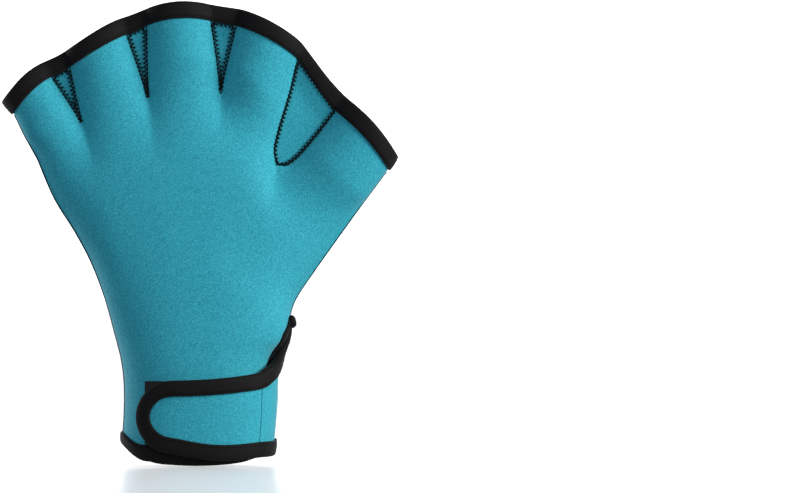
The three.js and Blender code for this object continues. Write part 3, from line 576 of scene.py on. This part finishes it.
def wrap_columns(row, end):
    """The palm panel's run round the thumb side, on the strap's oval."""
    wrap = float(smooth_table(SLIT_SHAPE, "wrap", row["level"])) if row["zone"] == "body" else 0.0
    if wrap < 1e-3:
        return np.repeat([end], WRAP_STEPS, axis=0)
    line = lines["palm"]["body"][-1]
    length = line["run"][-1]
    start_z = crossing(line, "body", row)[1]
    top = TAPE_WIDTH + STRAP_LEVEL * (length - TAPE_WIDTH)
    above_hem = TAPE_WIDTH + row["level"] * (length - TAPE_WIDTH)
    walked = above_hem if row["hem"] is None else row["hem"] * TAPE_WIDTH
    seam_z = STRAP_SEAM_BOTTOM + (STRAP_SEAM_TOP - STRAP_SEAM_BOTTOM) * walked / top
    reach = wrap * np.linspace(0, 1, WRAP_STEPS + 1)[1:]
    z = start_z + (seam_z - start_z) * reach
    left, right = side_at("little", z) - STRAP_LIFT, side_at("thumb", z)
    centre = (left + right) / 2
    seam_x = strap_seam_at(seam_z) + SEAM_HALF
    angle = reach * np.arccos(((seam_x - centre) / (right - centre)) ** (HAND_ROUNDNESS / 2))
    x = centre + (right - centre) * np.cos(angle) ** (2 / HAND_ROUNDNESS)
    depth = (half_depth(z, "back") + STRAP_LIFT) * np.sin(angle) ** (2 / HAND_ROUNDNESS)
    return np.column_stack([x, -depth, z])


palm_main = panel_grid("palm")
palm_grid = np.array([np.vstack([row_points, wrap_columns(row, row_points[-1])])
                      for row, row_points in zip(rows, palm_main)])
THUMB_COLUMN = palm_main.shape[1] - 1
palm = make_sheet(palm_grid, NEOPRENE, away_from_middle, side=1)
palm_panel = sheet_object("palm_panel_cloth", palm, neoprene)
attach(palm_panel, "root")
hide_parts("palm_panel")


# Wrist strap: a band of the same neoprene with a round end, sewn to the palm panel's edge and
# closed over the back of the wrist by hook and loop. Its face is plain.
STRAP_LENGTH, STRAP_END_HEIGHT, STRAP_END_Z, STRAP_SAG = 61.8, 34, 24.2, 2
STRAP_ROWS, STRAP_COLUMNS, STRAP_END_COLUMNS = 26, 44, 22
STRAP_END_X = STRAP_SEAM_X - STRAP_LENGTH + STRAP_END_HEIGHT / 2


def strap_grid():
    radius = STRAP_END_HEIGHT / 2
    straight = np.linspace(STRAP_SEAM_X - SEAM_HALF, STRAP_END_X, STRAP_COLUMNS + 1)
    rounded = STRAP_END_X - radius * np.sin(np.linspace(0, math.pi / 2, STRAP_END_COLUMNS + 1)[1:])
    x = np.concatenate([straight, rounded])
    share = np.clip((STRAP_SEAM_X - x) / (STRAP_SEAM_X - STRAP_END_X), 0, 1)
    bulge = np.where(x < STRAP_END_X, np.sqrt(np.clip(1 - ((STRAP_END_X - x) / radius) ** 2, 0, 1)), 1)
    top = STRAP_SEAM_TOP + (STRAP_END_Z + radius - STRAP_SEAM_TOP) * (1 - (1 - share) ** 2)
    low = STRAP_SEAM_BOTTOM + (STRAP_END_Z - radius - STRAP_SEAM_BOTTOM) * share**1.5
    low = low - STRAP_SAG * np.sin(math.pi * share)
    top, low = (STRAP_END_Z + (edge - STRAP_END_Z) * bulge for edge in (top, low))
    up = np.linspace(0, 1, STRAP_ROWS + 1)[:, None]
    z = low + (top - low) * up
    near_seam = np.clip((x - STRAP_END_X) / (STRAP_SEAM_X - STRAP_END_X), 0, 1)
    lean = (strap_seam_at(z) - STRAP_SEAM_X) * near_seam
    return strap_point(x + lean, z)


strap = make_sheet(strap_grid(), NEOPRENE, away_from_middle)
wrist_strap = sheet_object("wrist_strap_cloth", strap, neoprene)
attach(wrist_strap, "root")
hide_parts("wrist_strap")


# Bindings: black woven tape, folded over each cut edge and lockstitched through. Two long pieces
# go round the fan, one on each panel; one goes round the cuff, one up the back panel's edge of the
# slit, and one from the slit's end down the palm panel, round the strap and back along the cuff.
TAPE_BLACK, TAPE_GLINT = "#0f0e0f", "#191818"
# The wave texture draws a rib every 0.314 units of its scale
RIB_PITCH, FUZZ_PITCH, WAVE_PERIOD = 1.1, 10 / 9, 0.314
SLIT_TAPE_WIDTH, STRAP_TAPE_WIDTH = 5.6, 6.8
STRAP_TAPE_WIDENS = (12, 40)
# The slit tape is narrow where the strap covers it, wide above, and runs out under the knob
SLIT_TAPE = {"at": [0, 44, 50, 54, 58.5, 62], "width": [4.8, 4.8, 6.3, 7.0, 4.0, 2.2]}
# The tape's section: distance in from the cut edge as a share of the width, and height over the
# cloth's face. Points beyond the edge have their distance in millimetres instead.
TAPE_FACE = [(1.0, 0.3), (1.0, 0.85), (0.97, 1.12), (0.8, 1.38), (0.5, 1.48), (0.2, 1.36), (0.0, 1.12)]
TAPE_FOLD = [(0.7, 0.78), (1.05, 0.1), (1.12, -0.85), (1.05, -1.9), (0.7, -2.65)]
TAPE_LINING = [(0.0, -3.02), (0.3, -3.12), (0.7, -3.12), (0.97, -3.05), (1.0, -2.9), (1.0, -2.3)]
TAPE_INSIDE = [(0.5, -2.3), (0.0, -2.3)]
TAPE_INSIDE_FOLD = [(0.25, -2.05), (0.25, 0.05)]
TAPE_INSIDE_FACE = [(0.0, 0.3), (0.5, 0.3)]


def woven_tape():
    material, tree, shader = new_material("woven nylon binding tape, black")
    along = add_node(tree, "ShaderNodeUVMap", {"uv_map": "tape"})
    ribs = add_node(tree, "ShaderNodeTexWave", {"wave_type": "BANDS", "bands_direction": "X"},
                    {"Scale": WAVE_PERIOD / (RIB_PITCH * MM), "Distortion": 1.2, "Detail": 2.0,
                     "Detail Scale": 3.0}, {"Vector": along.outputs["UV"]})
    place = add_node(tree, "ShaderNodeTexCoord")
    fuzz = add_node(tree, "ShaderNodeTexNoise", {}, {"Scale": 1 / (FUZZ_PITCH * MM), "Detail": 3.0},
                    {"Vector": place.outputs["Object"]})
    mix = add_node(tree, "ShaderNodeMix", {"data_type": "FLOAT"}, {"Factor": 0.45},
                   {"A": ribs.outputs["Fac"], "B": fuzz.outputs["Fac"]})
    finish = {"Roughness": 0.68, "Specular IOR Level": 0.08, "Sheen Weight": 0.03, "Sheen Roughness": 0.4}
    finish_cloth(tree, shader, finish, mix.outputs["Result"], [(0, TAPE_BLACK), (1, TAPE_GLINT)],
                 {"Strength": 0.4, "Distance": 0.15 * MM})
    return material


tape_cloth = woven_tape()
lockstitched = []
HEM_SHARES = np.linspace(0, 1, HEM_STEPS + 1)


def smoothed(values, times):
    for _ in range(times):
        inner = (values[:-2] + 2 * values[1:-1] + values[2:]) / 4
        values = np.concatenate([values[:1], inner, values[-1:]])
    return values


def tape_object(name, places, normals):
    """A folded tape from its stations: places and normals run in from the cut edge to the hem."""
    inward = places[:, 1] - places[:, 0]
    inward /= np.linalg.norm(inward, axis=1)[:, None]
    lockstitched.append((places, normals))

    def on_cloth(share, height):
        n = min(int(share * HEM_STEPS), HEM_STEPS - 1)
        t = share * HEM_STEPS - n
        normal = normals[:, n] * (1 - t) + normals[:, n + 1] * t
        return places[:, n] * (1 - t) + places[:, n + 1] * t + height * normal

    def past_edge(distance, height):
        return places[:, 0] - distance * inward + height * normals[:, 0]

    ring = [on_cloth(*p) for p in TAPE_FACE] + [past_edge(*p) for p in TAPE_FOLD]
    ring += [on_cloth(*p) for p in TAPE_LINING + TAPE_INSIDE]
    ring += [past_edge(*p) for p in TAPE_INSIDE_FOLD] + [on_cloth(*p) for p in TAPE_INSIDE_FACE]
    stations = np.stack(ring, axis=1)
    count, around = stations.shape[:2]
    faces = []
    for i in range(count - 1):
        for j in range(around):
            k = (j + 1) % around
            faces.append((i * around + j, i * around + k, (i + 1) * around + k, (i + 1) * around + j))
    faces.append(tuple(reversed(range(around))))
    faces.append(tuple(range((count - 1) * around, count * around)))
    mesh = bpy.data.meshes.new(name)
    mesh.from_pydata((stations.reshape(-1, 3) * MM).tolist(), [], faces)
    along = along_run(places[:, 0]) * MM
    across = along_run(stations[0]) * MM
    uv = mesh.uv_layers.new(name="tape")
    index = np.empty(len(mesh.loops), int)
    mesh.loops.foreach_get("vertex_index", index)
    uv.data.foreach_set("uv", np.column_stack([along[index // around], across[index % around]]).ravel())
    mesh.shade_smooth()
    mesh.set_sharp_from_angle(angle=math.radians(50))
    piece = new_object(name, mesh, tape_cloth)
    turn_outwards(piece)
    return piece


def turn_outwards(piece):
    shape = bmesh.new()
    shape.from_mesh(piece.data)
    if shape.calc_volume(signed=True) < 0:
        bmesh.ops.reverse_faces(shape, faces=shape.faces)
    shape.to_mesh(piece.data)
    shape.free()


def grid_stations(sheet, row_numbers, columns):
    """Stations straight from a sheet's grid; row_numbers run from the cut edge to the hem."""
    ids = sheet["ids"][np.ix_(row_numbers, columns)].T
    kept = [0]
    for n in range(1, len(ids)):
        if np.linalg.norm(sheet["points"][ids[n, 0]] - sheet["points"][ids[kept[-1], 0]]) > 0.25:
            kept.append(n)
    ids = ids[kept]
    lifts = smoothed(sheet["normals"][ids], 5)
    return smoothed(sheet["points"][ids], 2), lifts / np.linalg.norm(lifts, axis=2)[:, :, None]


LAST_ROW = len(rows) - 1
fan_rows = [LAST_ROW - k for k in range(HEM_STEPS + 1)]
cuff_rows = list(range(HEM_STEPS + 1))
panel_columns = list(range(THUMB_COLUMN + 1))


def add_binding(piece, node):
    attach(piece, "root")
    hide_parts(node)


fan_tape_back = tape_object("fan_tape_back", *grid_stations(back, fan_rows, panel_columns))
add_binding(fan_tape_back, "finger_binding_back")
fan_tape_palm = tape_object("fan_tape_palm", *grid_stations(palm, fan_rows, panel_columns))
add_binding(fan_tape_palm, "finger_binding_palm")

back_places, back_normals = grid_stations(back, cuff_rows, panel_columns[::-1])
palm_places, palm_normals = grid_stations(palm, cuff_rows, panel_columns)
middle_places = (back_places[-1:] + palm_places[:1]) / 2
middle_normals = back_normals[-1:] + palm_normals[:1]
middle_normals /= np.linalg.norm(middle_normals, axis=2)[:, :, None]
cuff_places = np.concatenate([back_places[:-1], middle_places, palm_places[1:]])
cuff_normals = np.concatenate([back_normals[:-1], middle_normals, palm_normals[1:]])
add_binding(tape_object("cuff_tape", cuff_places, cuff_normals), "cuff_binding")


def walked_stations(sheets, edge, widths):
    """Stations square to an edge that slants across the sheets' rows, found on their outer faces."""
    points = np.vstack([sheet["points"] for sheet in sheets])
    faces, offset = [], 0
    for sheet in sheets:
        faces += [[int(i) + offset for i in face] for face in sheet["faces"]]
        offset += len(sheet["points"])
    tree = BVHTree.FromPolygons(points.tolist(), faces)
    near = [tree.find_nearest(Vector(p)) for p in edge.tolist()]
    normals = smoothed(np.array([found[1] for found in near]), 4)
    normals /= np.linalg.norm(normals, axis=1)[:, None]
    along = np.gradient(smoothed(edge, 6), axis=0)
    inward = np.cross(normals, along)
    inward /= np.linalg.norm(inward, axis=1)[:, None]
    probe = [tree.find_nearest(Vector(p))[3] for p in (edge + 4 * inward).tolist()]
    opposite = [tree.find_nearest(Vector(p))[3] for p in (edge - 4 * inward).tolist()]
    inward = inward if sum(probe) < sum(opposite) else -inward
    places, lifts = [edge], [normals]
    for share in HEM_SHARES[1:]:
        reach = edge + inward * (share * widths)[:, None]
        found = [tree.find_nearest(Vector(p)) for p in reach.tolist()]
        here = smoothed(np.array([f[0] for f in found]), 1)
        lift = smoothed(np.array([f[1] for f in found]), 4)
        places.append(here)
        lifts.append(lift / np.linalg.norm(lift, axis=1)[:, None])
    return np.stack(places, axis=1), np.stack(lifts, axis=1)


def evenly(points, step=1.2):
    run = along_run(points)
    at = np.linspace(0, run[-1], int(run[-1] / step) + 1)
    return np.column_stack([np.interp(at, run, points[:, k]) for k in range(3)])


body_rows = [n for n, row in enumerate(rows) if row["zone"] == "body" and row["hem"] is None]
slit_rows = [n for n in body_rows if rows[n]["level"] < SLIT_LEVEL]
slit_edge = evenly(back["grid"][slit_rows, -1])[:-1]
slit_widths = smooth_table(SLIT_TAPE, "width", along_run(slit_edge))
slit_tape = tape_object("slit_tape", *walked_stations([back], slit_edge, slit_widths))
add_binding(slit_tape, "slit_binding")

seam_row = next(n for n, row in enumerate(rows) if row["hem"] is None and row["level"] >= STRAP_LEVEL - 1e-9)
down_slit = palm["grid"][[n for n in reversed(slit_rows) if n >= seam_row], -1]
strap_round = np.vstack([strap["grid"][-1], strap["grid"][0][::-1][1:]])
along_cuff = palm["grid"][0][THUMB_COLUMN:][::-1]
strap_edge = evenly(smoothed(evenly(np.vstack([down_slit, strap_round, along_cuff])), 5))[2:]
blend = smooth_step(along_run(strap_edge), *STRAP_TAPE_WIDENS)
strap_widths = SLIT_TAPE_WIDTH + (STRAP_TAPE_WIDTH - SLIT_TAPE_WIDTH) * blend
strap_tape = tape_object("strap_tape", *walked_stations([palm, strap], strap_edge, strap_widths))
add_binding(strap_tape, "strap_binding")


# Hook and loop: a square-cornered loop patch sewn on the back of the wrist and a smaller hook patch
# under the strap's end. Only the loop patch's edge shows, as a dense black pile.
PATCH_BLACK, PATCH_GLINT = "#101011", "#242424"
PATCH_WALL, CLEARANCE = 0.8, 0.3
LOOP_PATCH = {"left": -26.7, "low": 10.6, "length": 34.7, "height": 31.2}
HOOK_PATCH = {"left": -18.9, "low": 17.7, "length": 26, "height": 13}
PATCH_STEPS = 24
PILE_PITCH = 0.5


def nylon_pile():
    material, tree, shader = new_material("brushed nylon loop, black")
    place = add_node(tree, "ShaderNodeTexCoord")
    pile = add_node(tree, "ShaderNodeTexNoise", {},
                    {"Scale": 1 / (PILE_PITCH * MM), "Detail": 4.0, "Roughness": 0.7},
                    {"Vector": place.outputs["Object"]})
    finish = {"Roughness": 0.9, "Specular IOR Level": 0.2, "Sheen Weight": 0.2}
    finish_cloth(tree, shader, finish, pile.outputs["Fac"], [(0, PATCH_BLACK), (1, PATCH_GLINT)],
                 {"Strength": 0.8, "Distance": 0.3 * MM})
    return material


pile_cloth = nylon_pile()


def strap_normals(points):
    step = 0.1
    x, z = points[..., 0], points[..., 2]
    across = strap_point(x + step, z) - strap_point(x - step, z)
    up = strap_point(x, z + step) - strap_point(x, z - step)
    normals = np.cross(across, up)
    return normals / np.linalg.norm(normals, axis=-1)[..., None]


def patch_places(patch):
    x = patch["left"] + patch["length"] * np.linspace(0, 1, PATCH_STEPS + 1)[None, :]
    z = patch["low"] + patch["height"] * np.linspace(0, 1, PATCH_STEPS + 1)[:, None]
    return np.broadcast_arrays(x, z)


def on_wrist(x, z):
    """The back panel's face under the strap, where its thumb edge is tucked in."""
    left = side_at("little", z)
    right = side_at("thumb", z) - STRAP_LIFT
    lift = SEAM_HALF + (SLIT_HALF - SEAM_HALF) * (x - left) / (right - left)
    return np.stack([x, -half_depth(z, "back") * oval_share(x, left, right) - lift, z], axis=-1)


def add_patch(name, grid, node):
    piece = sheet_object(name, make_sheet(grid, PATCH_WALL, away_from_middle), pile_cloth)
    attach(piece, "root")
    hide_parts(node)


loop_places = on_wrist(*patch_places(LOOP_PATCH))
add_patch("loop_pile", loop_places + (2 * CLEARANCE + PATCH_WALL) * strap_normals(loop_places), "loop_patch")
hook_places = strap_point(*patch_places(HOOK_PATCH))
add_patch("hook_pile", hook_places - (NEOPRENE + CLEARANCE) * strap_normals(hook_places), "hook_patch")


# Stitching: bonded black polyester thread, laid as a close zigzag. It sews the two panels together
# round each web and overlocks both side seams.
THREAD_BLACK = "#060607"
ZIGZAG_PITCH, THREAD_RADIUS = 2.1, 0.55
ZIGZAG_REACHES = [1.05, 1.05, 1.05, 0.75]
SEAM_PITCH, SEAM_REACH, SEAM_THREAD = 1.3, 0.7, 0.26
SEAM_LIFT, SEAM_PAST_SLIT = 0.1, 0.012
# The crease thread is painted shadow: a straight black thread along each web's edges that stands for the
# dark line where the channels rise from the web.
CREASE_SHADOW_LIFT, CREASE_SHADOW_THREAD = 0.05, 0.3
LITTLE_PIPING, THUMB_PIPING = 0.42, 0.24


def polyester_thread():
    material, tree, shader = new_material("bonded polyester thread, black")
    shader.inputs["Base Color"].default_value = linear(THREAD_BLACK)
    shader.inputs["Roughness"].default_value = 0.7
    shader.inputs["Specular IOR Level"].default_value = 0.1
    return material


thread = polyester_thread()


def zigzag_tree(material):
    """Turns paths with an outward direction at each point into a zigzag of round thread."""
    tree = bpy.data.node_groups.new("zigzag stitch", "GeometryNodeTree")
    tree.interface.new_socket("Geometry", in_out="INPUT", socket_type="NodeSocketGeometry")
    for name in ("Pitch", "Reach", "Thread radius"):
        tree.interface.new_socket(name, in_out="INPUT", socket_type="NodeSocketFloat")
    tree.interface.new_socket("Geometry", in_out="OUTPUT", socket_type="NodeSocketGeometry")
    given = add_node(tree, "NodeGroupInput")
    path = add_node(tree, "GeometryNodeMeshToCurve", links={"Mesh": given.outputs["Geometry"]})
    half = add_node(tree, "ShaderNodeMath", {"operation": "MULTIPLY"}, {1: 0.5},
                    {0: given.outputs["Pitch"]})
    even = add_node(tree, "GeometryNodeResampleCurve", {"mode": "LENGTH"},
                    links={"Curve": path.outputs["Curve"], "Length": half.outputs[0]})
    index = add_node(tree, "GeometryNodeInputIndex")
    odd = add_node(tree, "ShaderNodeMath", {"operation": "MODULO"}, {1: 2.0}, {0: index.outputs[0]})
    sign = add_node(tree, "ShaderNodeMath", {"operation": "MULTIPLY_ADD"}, {1: 2.0, 2: -1.0},
                    {0: odd.outputs[0]})
    reach = add_node(tree, "ShaderNodeMath", {"operation": "MULTIPLY"},
                     links={0: sign.outputs[0], 1: given.outputs["Reach"]})
    tangent = add_node(tree, "GeometryNodeInputTangent")
    outward = add_node(tree, "GeometryNodeInputNamedAttribute", {"data_type": "FLOAT_VECTOR"},
                       {"Name": "out"})
    across = add_node(tree, "ShaderNodeVectorMath", {"operation": "CROSS_PRODUCT"},
                      links={0: tangent.outputs[0], 1: outward.outputs["Attribute"]})
    unit = add_node(tree, "ShaderNodeVectorMath", {"operation": "NORMALIZE"}, links={0: across.outputs[0]})
    offset = add_node(tree, "ShaderNodeVectorMath", {"operation": "SCALE"},
                      links={0: unit.outputs[0], "Scale": reach.outputs[0]})
    moved = add_node(tree, "GeometryNodeSetPosition",
                     links={"Geometry": even.outputs["Curve"], "Offset": offset.outputs[0]})
    section = add_node(tree, "GeometryNodeCurvePrimitiveCircle", {"mode": "RADIUS"}, {"Resolution": 6},
                       {"Radius": given.outputs["Thread radius"]})
    body = add_node(tree, "GeometryNodeCurveToMesh", {}, {"Fill Caps": True},
                    {"Curve": moved.outputs["Geometry"], "Profile Curve": section.outputs["Curve"]})
    real = add_node(tree, "GeometryNodeRealizeInstances", links={"Geometry": body.outputs["Mesh"]})
    finished = add_node(tree, "GeometryNodeSetMaterial", {}, {"Material": material},
                        {"Geometry": real.outputs["Geometry"]})
    add_node(tree, "NodeGroupOutput", links={"Geometry": finished.outputs["Geometry"]})
    return tree


zigzag = zigzag_tree(thread)


def sewn(name, paths, outs, pitch, reach, radius):
    """A piece of zigzag stitching along paths, each with its outward directions."""
    points, edges, normals = [], [], []
    for path, out in zip(paths, outs):
        start = len(points)
        points += (np.asarray(path) * MM).tolist()
        normals += np.asarray(out).tolist()
        edges += [(n, n + 1) for n in range(start, len(points) - 1)]
    mesh = bpy.data.meshes.new(name + " path")
    mesh.from_pydata(points, edges, [])
    outward = mesh.attributes.new("out", "FLOAT_VECTOR", "POINT")
    outward.data.foreach_set("vector", np.asarray(normals, float).ravel())
    source = new_object(name + " path", mesh, thread)
    modifier = source.modifiers.new("zigzag stitch", "NODES")
    modifier.node_group = zigzag
    sizes = {"Pitch": pitch * MM, "Reach": reach * MM, "Thread radius": radius * MM}
    for socket in zigzag.interface.items_tree:
        if socket.item_type == "SOCKET" and socket.name in sizes:
            modifier[socket.identifier] = sizes[socket.name]
    source.update_tag()
    seen = source.evaluated_get(bpy.context.evaluated_depsgraph_get())
    finished = bpy.data.meshes.new_from_object(seen)
    finished.name = name
    bpy.data.objects.remove(source)
    finished.shade_smooth()
    piece = new_object(name, finished, thread)
    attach(piece, "root")
    return piece


WEB_TIP_PASS = 1.0
web_rows = [n for n, row in enumerate(rows) if row["zone"] == "finger" and row["hem"] is None]
grids = {"back": back["grid"], "palm": palm["grid"]}


def facing(path, toward):
    """The path and, at each of its points, the outward direction of a flat web."""
    return path, np.tile([0.0, toward, 0.0], (len(path), 1))


def web_path(side, web):
    """Round one web, just inside its edges: down one arm, up the other, and along the tape."""
    reach = ZIGZAG_REACHES[web]
    toward = TOWARD[side]
    grid = grids[side]
    start = web_column(web)
    left, right = [], []
    tip = grid[TIP_ROW, start] - [0, 0, WEB_TIP_PASS]
    for n in web_rows:
        a, b = grid[n, start], grid[n, start + WEB_STEPS]
        wide = np.linalg.norm(b - a)
        inset = min(reach, wide / 2)
        left.append(a + (b - a) * inset / wide)
        right.append(b + (a - b) * inset / wide)
    down = (left[-1] - left[-2]) / np.linalg.norm(left[-1] - left[-2])
    last_left, last_right = left[-1] - down * reach / 2, right[-1] - down * reach / 2
    along_tape = np.linspace(last_right, last_left, 8)[1:]
    path = np.array([*left[:-1][::-1], tip, *right[:-1], last_right, *along_tape])
    path[:, 1] += toward * THREAD_RADIUS
    return facing(path, toward)


for side in ("back", "palm"):
    for web in range(4):
        path, out = web_path(side, web)
        name = "web_stitches_" + side + "_" + WEBS[web]["name"]
        sewn(name, [path], [out], ZIGZAG_PITCH, ZIGZAG_REACHES[web], THREAD_RADIUS)


def seam_path(sheet, column, row_numbers):
    path = sheet["grid"][row_numbers, column].copy()
    path[:, 1] = 0
    along = np.gradient(path, axis=0)
    out = np.cross(along, [0, 1, 0])
    out /= np.linalg.norm(out, axis=1)[:, None]
    if np.sum(out[:, 0] * path[:, 0]) < 0:
        out = -out
    return path + SEAM_LIFT * out, out


def crease_shadow_path(side, web):
    """Along a web's two edges, in the crease where the channels rise from it. The straight black thread laid
    here is painted shadow for the crease's dark line, and it also covers the gap there.
    """
    toward = TOWARD[side]
    grid = grids[side]
    start = web_column(web)
    path = np.vstack([grid[web_rows, start][::-1], grid[web_rows, start + WEB_STEPS]])
    path[:, 1] += toward * CREASE_SHADOW_LIFT
    return facing(path, toward)


# Painted shadow: a straight black thread in each web's creases for the dark line of shade there. It also
# covers the gap between web and channel.
for side in ("back", "palm"):
    found = [crease_shadow_path(side, web) for web in range(4)]
    sewn("web_crease_shadow_" + side, *zip(*found), ZIGZAG_PITCH, 0.0, CREASE_SHADOW_THREAD)


little_rows = list(range(HEM_STEPS, LAST_ROW - HEM_STEPS))
thumb_rows = [n for n in little_rows if n > TIP_ROW or rows[n]["level"] > SLIT_LEVEL - SEAM_PAST_SLIT]
seams = [seam_path(palm, 0, little_rows), seam_path(palm, THUMB_COLUMN, thumb_rows)]
sewn("side_seam_stitches", *zip(*seams), SEAM_PITCH, SEAM_REACH, SEAM_THREAD)
sewn("little_side_piping", *zip(seams[0]), SEAM_PITCH, 0.0, LITTLE_PIPING)
sewn("thumb_side_piping", *zip(seams[1]), SEAM_PITCH, 0.0, THUMB_PIPING)


# Lockstitch: one straight row near each tape's hem, sewn through tape, cloth and tape with the
# same black thread, so only the dashes' relief shows.
LOCKSTITCH_PITCH, LOCKSTITCH_LENGTH, LOCKSTITCH_THREAD = 3.0, 2.2, 0.2
LOCKSTITCH_SHARE, LOCKSTITCH_HEIGHT = 0.2, 1.42


def lockstitches(places, normals):
    row = places[:, -2] * (1 - LOCKSTITCH_SHARE) + places[:, -1] * LOCKSTITCH_SHARE
    row = row + LOCKSTITCH_HEIGHT * normals[:, -2]
    run = along_run(row)
    paths, outs = [], []
    for start in np.arange(1.0, run[-1] - LOCKSTITCH_PITCH, LOCKSTITCH_PITCH):
        at = start + np.linspace(0, LOCKSTITCH_LENGTH, 4)
        paths.append(np.column_stack([np.interp(at, run, row[:, k]) for k in range(3)]))
        outs.append(np.column_stack([np.interp(at, run, normals[:, -2, k]) for k in range(3)]))
    return paths, outs


rows_of_dashes = [lockstitches(*run) for run in lockstitched]
sewn("tape_lockstitches", sum([r[0] for r in rows_of_dashes], []), sum([r[1] for r in rows_of_dashes], []),
     LOCKSTITCH_LENGTH, 0.0, LOCKSTITCH_THREAD)


# Frayed end: the fan tape's end at the little finger is cut, not turned under. A few nylon
# threads of its own weave stand out past the cut.
FRAY_SEED, FRAY_COUNT = 7, 16
FRAY_LENGTHS, FRAY_SPREAD, FRAY_THREAD = (0.7, 1.8), 0.35, 0.13


def frayed_end(places, normals):
    chance = np.random.default_rng(FRAY_SEED)
    beyond = places[0, 2] - places[1, 2]
    beyond /= np.linalg.norm(beyond)
    paths, outs = [], []
    for _ in range(FRAY_COUNT):
        share, length = chance.uniform(0, HEM_STEPS), chance.uniform(*FRAY_LENGTHS)
        n = min(int(share), HEM_STEPS - 1)
        root = places[0, n] + (places[0, n + 1] - places[0, n]) * (share - n)
        root = root + normals[0, n] * chance.uniform(0, 1.2) - 0.4 * beyond
        aside = chance.normal(0, FRAY_SPREAD, 3)
        steps = np.linspace(0, 1, 5)[:, None]
        paths.append(root + (length + 0.4) * steps * beyond + steps**2 * aside)
        outs.append(np.repeat(normals[:1, n], 5, axis=0))
    return paths, outs


frays = frayed_end(*lockstitched[0])
sewn("fan_tape_fray", *frays, FRAY_LENGTHS[0], 0.0, FRAY_THREAD)


# Bar tack: a dense block of black thread that closes the slit's end. It is sewn over the ends of
# the slit tape and the strap tape.
TACK_RADII, TACK_SQUARENESS = (2.9, 4.4, 3.3), 0.7
TACK_LEAN = -14
TACK_OUT, TACK_DOWN = -0.1, 4.5


def bar_tack():
    level = {"zone": "body", "level": SLIT_LEVEL, "hem": None}
    x, z = crossing(lines["palm"]["body"][-1], "body", level)
    shape = bmesh.new()
    bmesh.ops.create_uvsphere(shape, u_segments=32, v_segments=20, radius=1.0)
    for vert in shape.verts:
        squared = [math.copysign(abs(c) ** TACK_SQUARENESS, c) for c in vert.co]
        vert.co = Vector(c * r * MM for c, r in zip(squared, TACK_RADII))
    turn = Matrix.Rotation(math.radians(TACK_LEAN), 3, "Y")
    bmesh.ops.rotate(shape, cent=(0, 0, 0), matrix=turn, verts=shape.verts)
    bmesh.ops.translate(shape, vec=[(x + TACK_OUT) * MM, 0, (z - TACK_DOWN) * MM], verts=shape.verts)
    mesh = bpy.data.meshes.new("slit_bar_tack")
    shape.to_mesh(mesh)
    shape.free()
    mesh.shade_smooth()
    piece = new_object("slit_bar_tack", mesh, thread)
    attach(piece, "root")


bar_tack()
